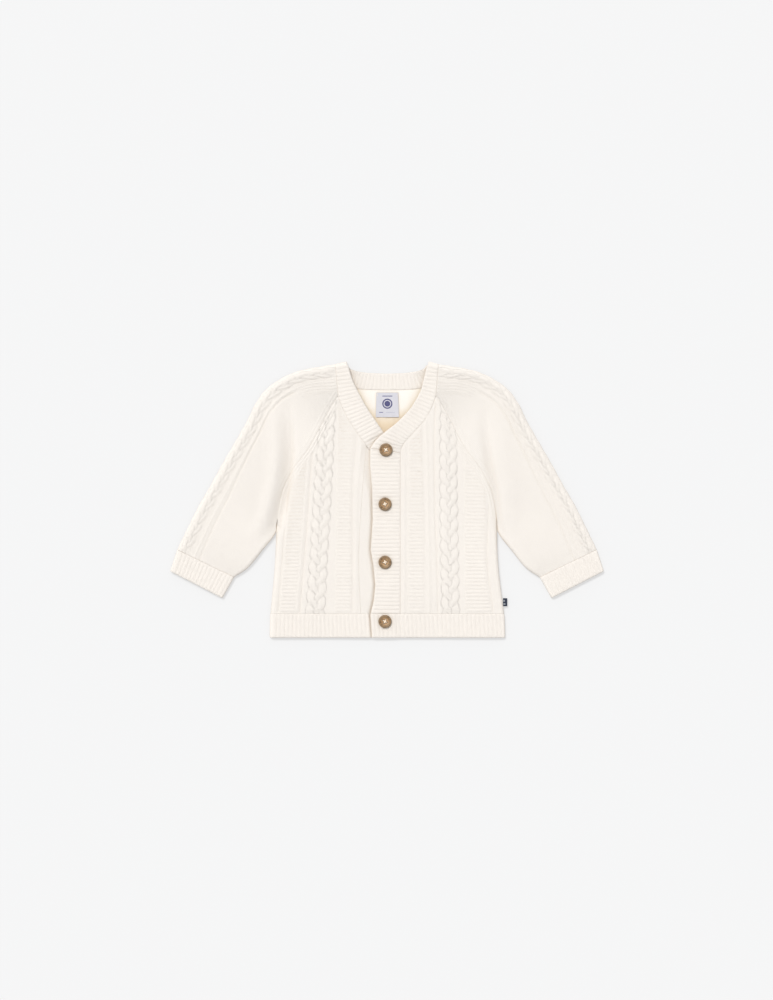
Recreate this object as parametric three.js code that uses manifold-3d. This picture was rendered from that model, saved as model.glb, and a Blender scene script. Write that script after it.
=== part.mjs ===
// A baby's knitted cardigan, laid flat on its back: raglan sleeves, cable panels, ribbed bands,
// four buttons. Millimetres; x to the right as it is seen from above, y toward the neck, z up.
// "Right" and "left" in names are the wearer's, so the right front has negative x.

import * as THREE from 'three';
import { mergeVertices } from 'three/addons/utils/BufferGeometryUtils.js';
import Module from 'manifold-3d';

// Driving dimensions

const WALL = 2.2; // thickness of the knit
const LIE_HEIGHT = 8; // both layers of the body and sleeves, laid on each other
const HEM_HEIGHT = 6; // the same at the pressed hem
const CUFF_HEIGHT = 6.2; // and at a cuff
const SEAM_GAP = 0.3; // between neighbouring pieces
const HALF_LENGTH = 146.3; // from the middle of the garment to its hem and to its neck peaks
const HEM_SEAM = -120.8; // y of the seam over the hem ribs
const FULL_HEIGHT_Y = -80; // above this the body has its full height
const UNDERARM = { x: 117, y: -33.4 };
const RAGLAN_TOP = { x: 51.7, y: 109.7 }; // where raglan seam and neckband meet

const HEM_RIB = 4.4; // width of one rib
const BAND_RIB = 4.1;
const CUFF_RIB = 4.1;
const LADDER_RIDGE = 3.9; // height of one ridge in the ladder columns
const CABLE_CROSSING = 15; // from one crossing of the cable to the next
const RIB_RISE = 0.8;
const LADDER_RISE = 0.8;
const CABLE_RISE = 1.7;
const GROOVE_DEPTH = 0.7;

const LAP_DIP = 1.8; // how much the lower front edge is pressed down where the upper one lies on it
const LAP_HIDDEN_END = 3.2; // x at which the lower edge ends, under the upper one
const LAP_RISE_START = LAP_HIDDEN_END + 0.8;
const LAP_RISE_END = 13.8; // x at which the upper edge is down on the panel again
// Width of the slope down to the lower front, low on the band and near the neck, and the heights
// between which it widens
const LAP_SLOPE = { low: 4, high: 12, from: -5, to: 40, end: 0.3 };
const LAP_CLEAR = 1.4; // from the edge of the upper front to the end of the ribs under it
const LAP_FADE = 1.5;
const EDGE_DROP = 0.5; // how much a free edge is thinned

const BUTTON = { radius: 6.9, height: 3, rimWidth: 1.7, dish: 0.9, holeRadius: 0.75, holeRing: 1.6 };
const LABEL = { topWidth: 23, bottomWidth: 24.6, top: 113.3, bottom: 87.2, x: 0.4, thickness: 0.6 };
const TAB = { y: -108.7, width: 8.5, reach: 127.4, thickness: 1.2 };

// Edge angles of a rolled side, from the side itself up to the flat
const ROLL = [0, 30, 60, 90];

// Tables, one row for each height or section

// Columns of knitting on the right front: x at five heights
const HEIGHTS = { hem: HEM_SEAM, waist: -64.1, chest: -0.5, yoke: 63.1, neck: 109.7 };
const RIGHT_COLUMNS = {
  side: { hem: -123.4, waist: -118.5, chest: -116.7, yoke: -116.1, neck: -116.1 },
  sideGroove: { hem: -115.2, waist: -110.6, chest: -105.7, yoke: -101.8, neck: -99.6 },
  outerLadderOut: { hem: -113.4, waist: -108.8, chest: -103.9, yoke: -99.6, neck: -97.5 },
  outerLadderIn: { hem: -97.1, waist: -92.7, chest: -87.8, yoke: -83.1, neck: -79.9 },
  rib: { hem: -95.6, waist: -91.2, chest: -86.3, yoke: -81.6, neck: -78.4 },
  cableGroove: { hem: -92.2, waist: -87.3, chest: -82.4, yoke: -77.9, neck: -74.2 },
  cableOut: { hem: -86.9, waist: -82.1, chest: -78.4, yoke: -73.6, neck: -69.9 },
  cableIn: { hem: -65.2, waist: -62.5, chest: -58.8, yoke: -55.7, neck: -53.4 },
  innerLadderOut: { hem: -54.6, waist: -54.1, chest: -53.5, yoke: -52.5, neck: -51.7 },
  innerLadderIn: { hem: -37.8, waist: -37.6, chest: -37.9, yoke: -34.5, neck: -31.8 },
  bandRibOut: { hem: -36.3, waist: -36, chest: -36.3, yoke: -32.3, neck: -28.6 },
  bandRib: { hem: -32, waist: -32.3, chest: -31.6, yoke: -27, neck: -22.3 },
  band: { hem: -27.8, waist: -29.9, chest: -26.7, yoke: -21.2, neck: -18 },
};
const LEFT_COLUMNS = {
  side: { hem: 124, waist: 117.6, chest: 116.3, yoke: 115.9, neck: 115.5 },
  sideGroove: { hem: 112.4, waist: 106, chest: 107.6, yoke: 107.1, neck: 107.1 },
  outerLadderOut: { hem: 110.2, waist: 103.9, chest: 104.9, yoke: 103.8, neck: 102.8 },
  outerLadderIn: { hem: 83.2, waist: 82.7, chest: 82.2, yoke: 81.6, neck: 81.6 },
  cableIn: { hem: 77, waist: 76, chest: 74.9, yoke: 73.8, neck: 73.8 },
  cableOut: { hem: 57.4, waist: 56.4, chest: 55.4, yoke: 55.4, neck: 56.4 },
  cableGroove: { hem: 54.2, waist: 52.8, chest: 50.7, yoke: 50.1, neck: 51.7 },
  rib: { hem: 45.1, waist: 44.5, chest: 43.5, yoke: 41.9, neck: 40.8 },
  innerLadderOut: { hem: 39.2, waist: 39.2, chest: 38.7, yoke: 37.1, neck: 36.6 },
  innerLadderIn: { hem: 22.6, waist: 22.8, chest: 22.8, yoke: 23.3, neck: 24.4 },
  bandRib: { hem: 18.4, waist: 18.4, chest: 18.4, yoke: 18.7, neck: 19.2 },
  band: { hem: 14.1, waist: 14.1, chest: 14.1, yoke: 14.1, neck: 14.1 },
};

// The raglan seam from the underarm to the neckband, for the left half
const RAGLAN_FRONT = [
  { x: 117, y: -33.4 },
  { x: 115.5, y: -14.3 },
  { x: 112.9, y: 1.6 },
  { x: 109.2, y: 13.2 },
  { x: 98.6, y: 32.9 },
  { x: 82.7, y: 54.6 },
  { x: 70.5, y: 76.9 },
  { x: 61, y: 94.9 },
  { x: 51.7, y: 109.7 },
];
const RAGLAN_BACK = [
  { x: 117, y: -33.4 },
  { x: 112.4, y: -10.1 },
  { x: 106, y: 14.3 },
  { x: 95.4, y: 38.7 },
  { x: 80.6, y: 63.1 },
  { x: 66.8, y: 89.6 },
  { x: 55.1, y: 110.8 },
  { x: 47.7, y: 123 },
];

// Sections of the left sleeve from cuff to neck: outer fold, front and back y of the other edge
// (x there follows the raglan seams past the underarm), height and width of the cable strip
const SLEEVE = [
  { foldX: 222.1, foldY: -53, edgeX: 161.7, frontY: -82.2, backY: -82.2, height: 6.6, strip: 26 },
  { foldX: 210.7, foldY: -29.7, edgeX: 146.8, frontY: -72.1, backY: -72.1, height: 7.6, strip: 25 },
  { foldX: 199.3, foldY: -6.9, edgeX: 132, frontY: -54.1, backY: -54.1, height: 8, strip: 24 },
  { foldX: 187.1, foldY: 14.3, edgeX: 117, frontY: -33.4, backY: -33.4, height: 8, strip: 23 },
  { foldX: 173.3, foldY: 39.2, edgeX: 114.4, frontY: -10.1, backY: -10.1, height: 8, strip: 21.5 },
  { foldX: 160.6, foldY: 61, edgeX: 109.7, frontY: 11.7, backY: 14.3, height: 8, strip: 20 },
  { foldX: 147.9, foldY: 83.2, edgeX: 98.6, frontY: 32.9, backY: 38.7, height: 8, strip: 19 },
  { foldX: 138.3, foldY: 102.8, edgeX: 82.7, frontY: 54.6, backY: 63.1, height: 8, strip: 18.5 },
  { foldX: 124, foldY: 119.8, edgeX: 70.5, frontY: 76.9, backY: 89.6, height: 8, strip: 20 },
  { foldX: 96.5, foldY: 134.8, edgeX: 61, frontY: 94.9, backY: 110.8, height: 8, strip: 22 },
  { foldX: 54.5, foldY: 143.3, edgeX: 51.7, frontY: 109.7, backY: 123, height: 8, strip: 23 },
];
const UNDERARM_ROW = 3;
const CUFF_END = { foldX: 229.6, foldY: -75.8, edgeX: 174.1, edgeY: -104.4 };

// The neckband across its width, from its lower end to the neck peak, and half of the back
const RIGHT_NECK = [
  { innerX: 2.7, innerY: 62, outerX: -17.7, outerY: 51.4 },
  { innerX: -3.2, innerY: 70.7, outerX: -23.9, outerY: 59.4 },
  { innerX: -9.5, innerY: 79.8, outerX: -30.7, outerY: 68.9 },
  { innerX: -15.9, innerY: 89, outerX: -37.3, outerY: 79 },
  { innerX: -22.3, innerY: 99.1, outerX: -44.4, outerY: 91 },
  { innerX: -30.6, innerY: 114.4, outerX: -51.7, outerY: 109.7 },
  { innerX: -36.6, innerY: 127.2, outerX: -53, outerY: 125.6 },
  { innerX: -41.1, innerY: 142.3, outerX: -54.2, outerY: 139.3 },
];
const LEFT_NECK = [
  { innerX: -17.7, innerY: 54.1, outerX: 14.1, outerY: 49.3 },
  { innerX: -11.4, innerY: 63.1, outerX: 15.6, outerY: 55.4 },
  { innerX: -2.1, innerY: 71.5, outerX: 19.6, outerY: 61.6 },
  { innerX: 9.5, innerY: 80.6, outerX: 26.9, outerY: 69.4 },
  { innerX: 19.1, innerY: 90.1, outerX: 36, outerY: 79.4 },
  { innerX: 26.7, innerY: 99.1, outerX: 44.2, outerY: 91 },
  { innerX: 35.2, innerY: 114.4, outerX: 51.7, outerY: 109.7 },
  { innerX: 38.8, innerY: 127.2, outerX: 53, outerY: 125.6 },
  { innerX: 42.6, innerY: 142.3, outerX: 54.2, outerY: 139.3 },
];
const NECK_PEAK = { innerRight: -42.2, innerLeft: 43.7, innerY: HALF_LENGTH, outer: 54.5, outerY: 143.3 };
const BACK_NECK = [
  { innerX: 42, innerY: 142.3, outerX: 53.2, outerY: 139.3 },
  { innerX: 38.6, innerY: 138.5, outerX: 50.6, outerY: 131.8 },
  { innerX: 34.4, innerY: 136.7, outerX: 47.7, outerY: 123 },
  { innerX: 29.5, innerY: 135.5, outerX: 36.6, outerY: 118 },
  { innerX: 17.5, innerY: 134, outerX: 20.5, outerY: 116.2 },
  { innerX: 0, innerY: 133.3, outerX: 0, outerY: 115.8 },
];

// The free edge of the upper band, from the hem to the lower tip of the neckline
const LAP_EDGE = [
  { x: -15.7, y: -146.3 },
  { x: -17.6, y: -122.4 },
  { x: -14, y: -106.5 },
  { x: -12.4, y: -90.6 },
  { x: -14.5, y: -69.4 },
  { x: -17.2, y: -53.5 },
  { x: -15.2, y: -21.7 },
  { x: -15.7, y: 10.1 },
  { x: -18, y: 36.6 },
  { x: -17.7, y: 54.1 },
  { x: -11.4, y: 63.1 },
  { x: -2.1, y: 71.5 },
];

// The valley from each armpit up over the cap of the sleeve: its path, how far it reaches into
// the sleeve and into the body, and the fold of the sleeve that rises beside it
const VALLEYS = [
  {
    side: -1,
    sleeveReach: 9,
    bodyReach: 5,
    fold: 3,
    path: [
      { x: -104, y: 106, depth: 0.3 },
      { x: -103.4, y: 73.7, depth: 2.2 },
      { x: -102.2, y: 50, depth: 3.2 },
      { x: -102.6, y: 37, depth: 3.5 },
      { x: -105, y: 15.4, depth: 3.6 },
      { x: -111, y: -11, depth: 3.6 },
      { x: -116.6, y: -30.2, depth: 2.8 },
      { x: -131, y: -51, depth: 0.2 },
    ],
  },
  {
    side: 1,
    sleeveReach: 5,
    bodyReach: 6.5,
    fold: 1,
    path: [
      { x: 103.5, y: 96, depth: 0.3 },
      { x: 104, y: 73.7, depth: 1.5 },
      { x: 106.5, y: 53.8, depth: 2.4 },
      { x: 108.5, y: 37, depth: 2.9 },
      { x: 113.5, y: 14.1, depth: 3 },
      { x: 116.5, y: -5.8, depth: 2.8 },
      { x: 119, y: -29, depth: 2 },
      { x: 128.3, y: -48.2, depth: 0.2 },
    ],
  },
];
const FOLD_PLACE = 16; // from the valley to the top of the fold beside it
const FOLD_WIDTH = 7.5;
const FOLD_DEPTH = 3.6; // of the valley, where the fold beside it has its full height

// Columns of the plain back, out from the middle
const BACK_COLUMNS = [106, 95.4, 80.6, 66.8, 55.1, 47.7, 36.6, 20.5];
const BACK_HEM_COLUMNS = [100, 70, 35];

// Lines of a sleeve that curve down into its seamed edge: angle of the roll at the cuff end, and
// beside the panels how far in from the seam, at most a share of the sleeve's width
const FRONT_EDGE_LINES = [
  { degrees: 30, inward: 1.6, share: 0.07 },
  { degrees: 60, inward: 3.2, share: 0.14 },
  { degrees: 90, inward: 5.2, share: 0.22 },
];
const FRONT_PLAIN_LINES = [
  { inward: 8.5, share: 0.4 },
  { inward: 12, share: 0.55 },
];
const BACK_EDGE_LINES = [
  { degrees: 90, inward: 5.2, share: 0.2 },
  { degrees: 60, inward: 3.2, share: 0.13 },
  { degrees: 30, inward: 1.6, share: 0.06 },
];
const BACK_PLAIN_SHARES = [0.62, 0.32];

const BUTTON_PLACES = [
  { name: 'button_1', x: -1.1, y: 52.5 },
  { name: 'button_2', x: -2.1, y: -4.8 },
  { name: 'button_3', x: -2.1, y: -66.2 },
  { name: 'button_4', x: -2.1, y: -128.8 },
];

// Small helpers

const { min, max, abs, sin, cos, sqrt, exp, ceil, floor, round, hypot, PI } = Math;
const clamp = (value, low, high) => min(max(value, low), high);
const mix = (a, b, t) => a + (b - a) * t;
const ease = (from, to, value) => {
  const t = clamp((value - from) / (to - from), 0, 1);
  return t * t * (3 - 2 * t);
};
const radians = (degrees) => (degrees * PI) / 180;

// A smooth curve through the rows of a table: the value of one column at a given place
function smooth(keys, values, at) {
  const last = keys.length - 1;
  let k = 0;
  while (k < last - 1 && at > keys[k + 1]) k += 1;
  const t = (at - keys[k]) / (keys[k + 1] - keys[k]);
  const slope = (i) => {
    const a = max(i - 1, 0);
    const b = min(i + 1, last);
    return (values[b] - values[a]) / (keys[b] - keys[a]);
  };
  const step = keys[k + 1] - keys[k];
  const [m0, m1] = [slope(k) * step, slope(k + 1) * step];
  const [t2, t3] = [t * t, t * t * t];
  return (2 * t3 - 3 * t2 + 1) * values[k] + (t3 - 2 * t2 + t) * m0
    + (3 * t2 - 2 * t3) * values[k + 1] + (t3 - t2) * m1;
}

const smoothColumn = (rows, key, column) => {
  const keys = rows.map((row) => row[key]);
  const values = rows.map((row) => row[column]);
  return (at) => smooth(keys, values, at);
};

// A straight-sided path through points: x at a given y, or y at a given x
function along(points, from, to, at) {
  let k = 0;
  while (k < points.length - 2 && at > points[k + 1][from]) k += 1;
  const [a, b] = [points[k], points[k + 1]];
  return mix(a[to], b[to], (at - a[from]) / (b[from] - a[from]));
}

// Places from one end to the other, about a step apart
function spread(start, end, step) {
  const count = max(1, ceil(abs(end - start) / step));
  return Array.from({ length: count + 1 }, (_, i) => mix(start, end, i / count));
}

// The same, with the inner places on whole multiples of the step, so that ridges line up
function gridSpread(start, end, step) {
  const places = [start];
  for (let k = floor(start / step) + 1; k * step < end - 0.3 * step; k += 1) {
    if (k * step > start + 0.3 * step) places.push(k * step);
  }
  places.push(end);
  return places;
}

// The points of a path moved sideways, to the left of the way it runs
function moveAside(points, distance) {
  return points.map((point, i) => {
    const a = points[max(i - 1, 0)];
    const b = points[min(i + 1, points.length - 1)];
    const length = hypot(b.x - a.x, b.y - a.y);
    return {
      ...point,
      x: point.x - ((b.y - a.y) / length) * distance,
      y: point.y + ((b.x - a.x) / length) * distance,
    };
  });
}

// Walls
// A face is a list of lines, a line is { w, samples: [{ v, x, y, z }] }. Neighbouring lines may
// have different numbers of samples: they are joined in order of v.

function joinLines(a, b, faces) {
  let [i, j] = [0, 0];
  while (i < a.length - 1 || j < b.length - 1) {
    const stepOnA = j === b.length - 1
      || (i < a.length - 1 && a[i].v + a[i + 1].v <= b[j].v + b[j + 1].v);
    if (stepOnA) {
      faces.push(a[i].index, b[j].index, a[i + 1].index);
      i += 1;
    } else {
      faces.push(a[i].index, b[j].index, b[j + 1].index);
      j += 1;
    }
  }
}

function wallGeometry(outerFace, innerFace) {
  const positions = [];
  const faces = [];
  const store = (line) => line.samples.map(({ v, x, y, z }) => {
    positions.push(x, y, z);
    return { v, index: positions.length / 3 - 1 };
  });
  const outer = outerFace.map(store);
  const inner = innerFace.map(store);
  const last = (list) => list[list.length - 1];
  const ends = (lines, face, pick) => lines.map((line, k) => ({ v: face[k].w, index: pick(line).index }));
  for (let k = 0; k < outer.length - 1; k += 1) joinLines(outer[k], outer[k + 1], faces);
  for (let k = 0; k < inner.length - 1; k += 1) joinLines(inner[k + 1], inner[k], faces);
  joinLines(inner[0], outer[0], faces);
  joinLines(last(outer), last(inner), faces);
  const first = (list) => list[0];
  joinLines(ends(outer, outerFace, first), ends(inner, innerFace, first), faces);
  joinLines(ends(inner, innerFace, last), ends(outer, outerFace, last), faces);
  const point = (i) => new THREE.Vector3().fromArray(positions, i * 3);
  let volume = 0;
  for (let f = 0; f < faces.length; f += 3) {
    volume += point(faces[f]).dot(point(faces[f + 1]).cross(point(faces[f + 2])));
  }
  if (volume < 0) {
    for (let f = 0; f < faces.length; f += 3) [faces[f], faces[f + 1]] = [faces[f + 1], faces[f]];
  }
  const geometry = new THREE.BufferGeometry();
  geometry.setAttribute('position', new THREE.Float32BufferAttribute(positions, 3));
  geometry.setIndex(faces);
  return geometry;
}

// Form of the cloth

// Depth of the armpit valleys, negative on the fold beside one
function valleyDepth(x, y) {
  let [depth, raised] = [0, 0];
  for (const { side, sleeveReach, bodyReach, fold, path } of VALLEYS) {
    let [nearest, deep, out] = [Infinity, 0, 0];
    for (let k = 0; k < path.length - 1; k += 1) {
      const [a, b] = [path[k], path[k + 1]];
      const [dx, dy] = [b.x - a.x, b.y - a.y];
      const t = clamp(((x - a.x) * dx + (y - a.y) * dy) / (dx * dx + dy * dy), 0, 1);
      const away = hypot(x - a.x - dx * t, y - a.y - dy * t);
      if (away < nearest) {
        nearest = away;
        deep = mix(a.depth, b.depth, t);
        out = side * (x - a.x - dx * t);
      }
    }
    const reach = out > 0 ? sleeveReach : bodyReach;
    depth = max(depth, deep * exp(-((nearest / reach) ** 2)));
    const foldTop = (fold * deep) / FOLD_DEPTH;
    if (out > 0) raised = max(raised, foldTop * exp(-(((nearest - FOLD_PLACE) / FOLD_WIDTH) ** 2)));
  }
  return depth - raised;
}

const bodyHeight = (y) => mix(HEM_HEIGHT, LIE_HEIGHT, ease(-HALF_LENGTH, FULL_HEIGHT_Y, y));
const topHeight = (x, y) => bodyHeight(y) - valleyDepth(x, y);
const lapTop = LAP_EDGE[LAP_EDGE.length - 1].y;
const lapEdge = (y) => along(LAP_EDGE, 'y', 'x', clamp(y, -HALF_LENGTH, lapTop));
const lapDepth = (y) => min(LAP_DIP, bodyHeight(y) - 2 * WALL - SEAM_GAP);
const lapLift = (y) => WALL + SEAM_GAP - lapDepth(y);
const lapRise = (x, y) => lapLift(y) * (1 - ease(LAP_RISE_START, LAP_RISE_END, x));
const lapSlope = (y) => mix(LAP_SLOPE.low, LAP_SLOPE.high, ease(LAP_SLOPE.from, LAP_SLOPE.to, y));
const lapDip = (x, y) => lapDepth(y) * ease(lapEdge(y) - lapSlope(y), lapEdge(y) - LAP_SLOPE.end, x);
// Ribs of the right neckband fade out just before they reach the upper front
const clearOfLap = (x, y) => (y > lapTop ? 1 : clamp((lapEdge(y) - LAP_CLEAR - x) / LAP_FADE, 0, 1));

// A point on a rolled edge: how far in from the edge and how high, on the outer and inner face
function rollPoint(height, degrees, layer) {
  const radius = height / 2;
  const angle = radians(degrees);
  const gap = degrees === 0 ? (layer * SEAM_GAP) / 2 : 0;
  return {
    outer: { inward: radius * (1 - cos(angle)), z: radius * (1 + layer * sin(angle)) + gap },
    inner: {
      inward: radius - (radius - WALL) * cos(angle),
      z: radius + layer * (radius - WALL) * sin(angle) + gap,
    },
  };
}

// Height of a three-strand plait, from -1 to 1 across, in millimetres along
const STRAND_HALF = 0.5; // half the width of a strand, and how far it swings to each side
const STRAND_LIFT = 0.28; // how much of its height a strand gains over the one it crosses
function plait(across, run) {
  let top = 0;
  for (const strand of [0, 1, 2]) {
    const turn = 2 * PI * (run / (3 * CABLE_CROSSING) + strand / 3);
    const reach = (across - STRAND_HALF * sin(turn)) / STRAND_HALF;
    const height = 1 - STRAND_LIFT + STRAND_LIFT * sin(2 * turn);
    if (abs(reach) < 1) top = max(top, sqrt(1 - reach * reach) * height);
  }
  return CABLE_RISE * top;
}

// Whether a sample on a grid of half ridges is on a crest, and the height it has there
const ridge = (place, step) => (floor(place / step + 0.5) % 2 === 0 ? 1 : 0);
const onGrid = (place, step) => abs(place / step - round(place / step)) < 0.01;
const ridgeRise = (place, step, rise) => (onGrid(place, step) ? rise * ridge(place, step) : 0);

// Panels
// A line that runs up the cloth is { w, outerX, outerZ, innerX, innerZ, places, fine }: where it
// lies at a given y on each face, and the heights of its samples.

const sideSign = { right: -1, left: 1 };

function columnX(columns, name) {
  const keys = Object.values(HEIGHTS);
  const values = Object.keys(HEIGHTS).map((height) => columns[name][height]);
  return (y) => smooth(keys, values, y);
}

// The place between two bounds at which a rising function reaches zero
function crossing(rising, low, high) {
  let [below, above] = [low, high];
  for (let k = 0; k < 40; k += 1) {
    const middle = (below + above) / 2;
    if (rising(middle) > 0) above = middle;
    else below = middle;
  }
  return below;
}

// Where a line of the left half meets the raglan seam, or inside of that the neckband
function seamPoint(xAt, raglan, neckX, neckBottom) {
  const corner = raglan[raglan.length - 1];
  const raglanX = smoothColumn(raglan, 'y', 'x');
  const beside = xAt(corner.y) - corner.x;
  if (abs(beside) < 0.01) return { ...corner, onRaglan: true, onNeck: true };
  if (beside > 0) {
    const y = crossing((at) => xAt(at) - raglanX(at), UNDERARM.y, corner.y);
    return { x: raglanX(y), y, onRaglan: true };
  }
  const y = crossing((at) => neckX(at) - xAt(at), neckBottom, corner.y);
  return { x: neckX(y), y, onNeck: true };
}

// Turns lines into a wall whose upper ends lie on a seam, drawn back from it by half the gap
function panelWall(lines, bottom, drawBack) {
  const face = (which) => {
    const tops = lines.map((line) => {
      const { top, z } = line[which];
      return { ...top, z: z(top.y, top.x) };
    });
    const drawn = moveAside(tops, drawBack);
    const built = lines.map((line, k) => {
      const { x, z } = line[which];
      const places = line[which].places(bottom, tops[k].y);
      const samples = places.slice(0, -1).map((y) => ({ v: y, x: x(y), y, z: z(y, x(y)) }));
      samples.push({ v: tops[k].y, x: drawn[k].x, y: drawn[k].y, z: drawn[k].z });
      return { w: line.w, samples };
    });
    return { built, tops };
  };
  const [outer, inner] = [face('outer'), face('inner')];
  return { geometry: wallGeometry(outer.built, inner.built), outerTops: outer.tops, innerTops: inner.tops };
}

const PLAIN_STEP = 15;
const INNER_STEP = 34;
const GROOVE_FLANK = 1.6;
const BAND_GROOVE = 0.4;
const LADDER_FADE = 3;
const CABLE_FADE = { below: 5, above: 8, past: 4 };
const CABLE_LINES = [-0.78, -0.4, 0, 0.4, 0.78]; // across a cable, from -1 to 1
const plainPlaces = (bottom, top) => spread(bottom, top, PLAIN_STEP);
const innerPlaces = (bottom, top) => spread(bottom, top, INNER_STEP);
const ladderPlaces = (bottom, top) => gridSpread(bottom, top, LADDER_RIDGE / 2);
const cablePlaces = (bottom, top) => gridSpread(bottom, top, CABLE_CROSSING / 4);

// Fronts

const NECK_ROWS = { right: RIGHT_NECK, left: LEFT_NECK };
const FRONT_COLUMNS = { right: RIGHT_COLUMNS, left: LEFT_COLUMNS };

function frontPanel(side) {
  const sign = sideSign[side];
  const columns = FRONT_COLUMNS[side];
  const rows = NECK_ROWS[side];
  const neck = smoothColumn(rows, 'outerY', 'outerX');
  const neckX = (y) => sign * neck(y);
  const bottom = HEM_SEAM + SEAM_GAP / 2;
  const lines = [];
  const topOf = (x) => {
    const point = seamPoint((y) => sign * x(y), RAGLAN_FRONT, neckX, rows[0].outerY);
    return { ...point, x: sign * point.x };
  };
  const addLine = (outerX, outerZ, innerX, innerZ, places) => {
    lines.push({
      w: lines.length,
      outer: { x: outerX, z: outerZ, places, top: topOf(outerX) },
      inner: { x: innerX, z: innerZ, places: innerPlaces, top: topOf(innerX) },
    });
  };
  const flat = (y, x) => topHeight(x, y) - (side === 'right' ? lapDip(x, y) : 0);
  const add = (x, rise = () => 0, places = plainPlaces) => {
    addLine(x, (y, at) => flat(y, at) + rise(y), x, (y, at) => flat(y, at) - WALL, places);
  };
  const between = (a, b, t) => {
    const [ax, bx] = [columnX(columns, a), columnX(columns, b)];
    return (y) => mix(ax(y), bx(y), t);
  };
  const sideX = columnX(columns, 'side');

  const addRolledSide = () => {
    for (const degrees of ROLL) {
      const roll = (face, y) => rollPoint(bodyHeight(y), degrees, 1)[face];
      const inward = (face) => (y) => sideX(y) - sign * roll(face, y).inward;
      const height = (face) => (y, x) => roll(face, y).z - valleyDepth(x, y) * sin(radians(degrees));
      addLine(inward('outer'), height('outer'), inward('inner'), height('inner'), plainPlaces);
    }
  };
  const addGroove = (name) => {
    const x = columnX(columns, name);
    add((y) => x(y) + sign * GROOVE_FLANK);
    add(x, () => -GROOVE_DEPTH);
  };
  const addRib = (name) => add(columnX(columns, name), () => RIB_RISE);
  const addLadder = (nameA, nameB, withMiddle) => {
    const lowest = min(topOf(between(nameA, nameB, 0)).y, topOf(between(nameA, nameB, 1)).y);
    const fade = (y) => clamp((lowest - y) / LADDER_FADE, 0, 1);
    const rise = (y) => ridgeRise(y, LADDER_RIDGE / 2, LADDER_RISE) * fade(y);
    for (const t of withMiddle ? [0, 0.5, 1] : [0, 1]) add(between(nameA, nameB, t), rise, ladderPlaces);
  };
  const addCable = (nameA, nameB) => {
    const lowest = min(topOf(between(nameA, nameB, 0)).y, topOf(between(nameA, nameB, 1)).y);
    const { below, above, past } = CABLE_FADE;
    const fade = (y) => clamp((lowest + past - y) / above, 0, 1) * clamp((y - bottom) / below, 0, 1);
    add(between(nameA, nameB, 0));
    for (const across of CABLE_LINES) {
      add(between(nameA, nameB, (across + 1) / 2), (y) => plait(across, y) * fade(y), cablePlaces);
    }
    add(between(nameA, nameB, 1));
  };

  addRolledSide();
  addGroove('sideGroove');
  addLadder('outerLadderOut', 'outerLadderIn', false);
  if (side === 'right') {
    addRib('rib');
    add(columnX(columns, 'cableGroove'), () => -GROOVE_DEPTH);
    addCable('cableOut', 'cableIn');
    add(between('cableIn', 'innerLadderOut', 0.85));
    addLadder('innerLadderOut', 'innerLadderIn', true);
    add(columnX(columns, 'bandRibOut'), () => -BAND_GROOVE);
    addRib('bandRib');
  } else {
    add(between('outerLadderIn', 'cableIn', 0.3));
    addCable('cableIn', 'cableOut');
    add(columnX(columns, 'cableGroove'), () => -GROOVE_DEPTH);
    addRib('rib');
    add(between('rib', 'innerLadderOut', 0.75));
    addLadder('innerLadderOut', 'innerLadderIn', false);
    add(between('innerLadderIn', 'bandRib', 0.5));
    addRib('bandRib');
  }
  const bandX = columnX(columns, 'band');
  add((y) => bandX(y) + (sign * SEAM_GAP) / 2);
  return panelWall(lines, bottom, (sign * SEAM_GAP) / 2);
}

// Back

function backPanel() {
  const bottom = HEM_SEAM + SEAM_GAP / 2;
  const neckY = smoothColumn([...BACK_NECK].reverse(), 'outerX', 'outerY');
  const lines = [];
  const raglanX = smoothColumn(RAGLAN_BACK, 'y', 'x');
  const corner = RAGLAN_BACK[RAGLAN_BACK.length - 1];
  const topOf = (sign, x) => {
    const out = sign * x(corner.y);
    if (out < corner.x - 0.01) return { x: x(corner.y), y: neckY(abs(out)), onNeck: true };
    if (out < corner.x + 0.01) return { x: sign * corner.x, y: corner.y, onNeck: true, onRaglan: true };
    const y = crossing((at) => sign * x(at) - raglanX(at), UNDERARM.y, corner.y);
    return { x: sign * raglanX(y), y, onRaglan: true };
  };
  const addLine = (sign, outerX, outerZ, innerX, innerZ) => {
    lines.push({
      outer: { x: outerX, z: outerZ, places: innerPlaces, top: topOf(sign, outerX) },
      inner: { x: innerX, z: innerZ, places: innerPlaces, top: topOf(sign, innerX) },
    });
  };
  const half = (side) => {
    const sign = sideSign[side];
    const sideX = columnX(FRONT_COLUMNS[side], 'side');
    for (const degrees of ROLL) {
      const inward = (face) => (y) => sideX(y) - sign * rollPoint(bodyHeight(y), degrees, -1)[face].inward;
      const height = (face) => (y) => rollPoint(bodyHeight(y), degrees, -1)[face].z;
      addLine(sign, inward('outer'), height('outer'), inward('inner'), height('inner'));
    }
    for (const at of BACK_COLUMNS) {
      addLine(sign, () => sign * at, () => 0, () => sign * at, () => WALL);
    }
  };
  half('right');
  const rightCount = lines.length;
  addLine(1, () => 0, () => 0, () => 0, () => WALL);
  half('left');
  const leftLines = lines.splice(rightCount + 1);
  lines.push(...leftLines.reverse());
  lines.forEach((line, k) => {
    line.w = k;
  });
  return panelWall(lines, bottom, -SEAM_GAP / 2);
}

// Sleeves

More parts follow.
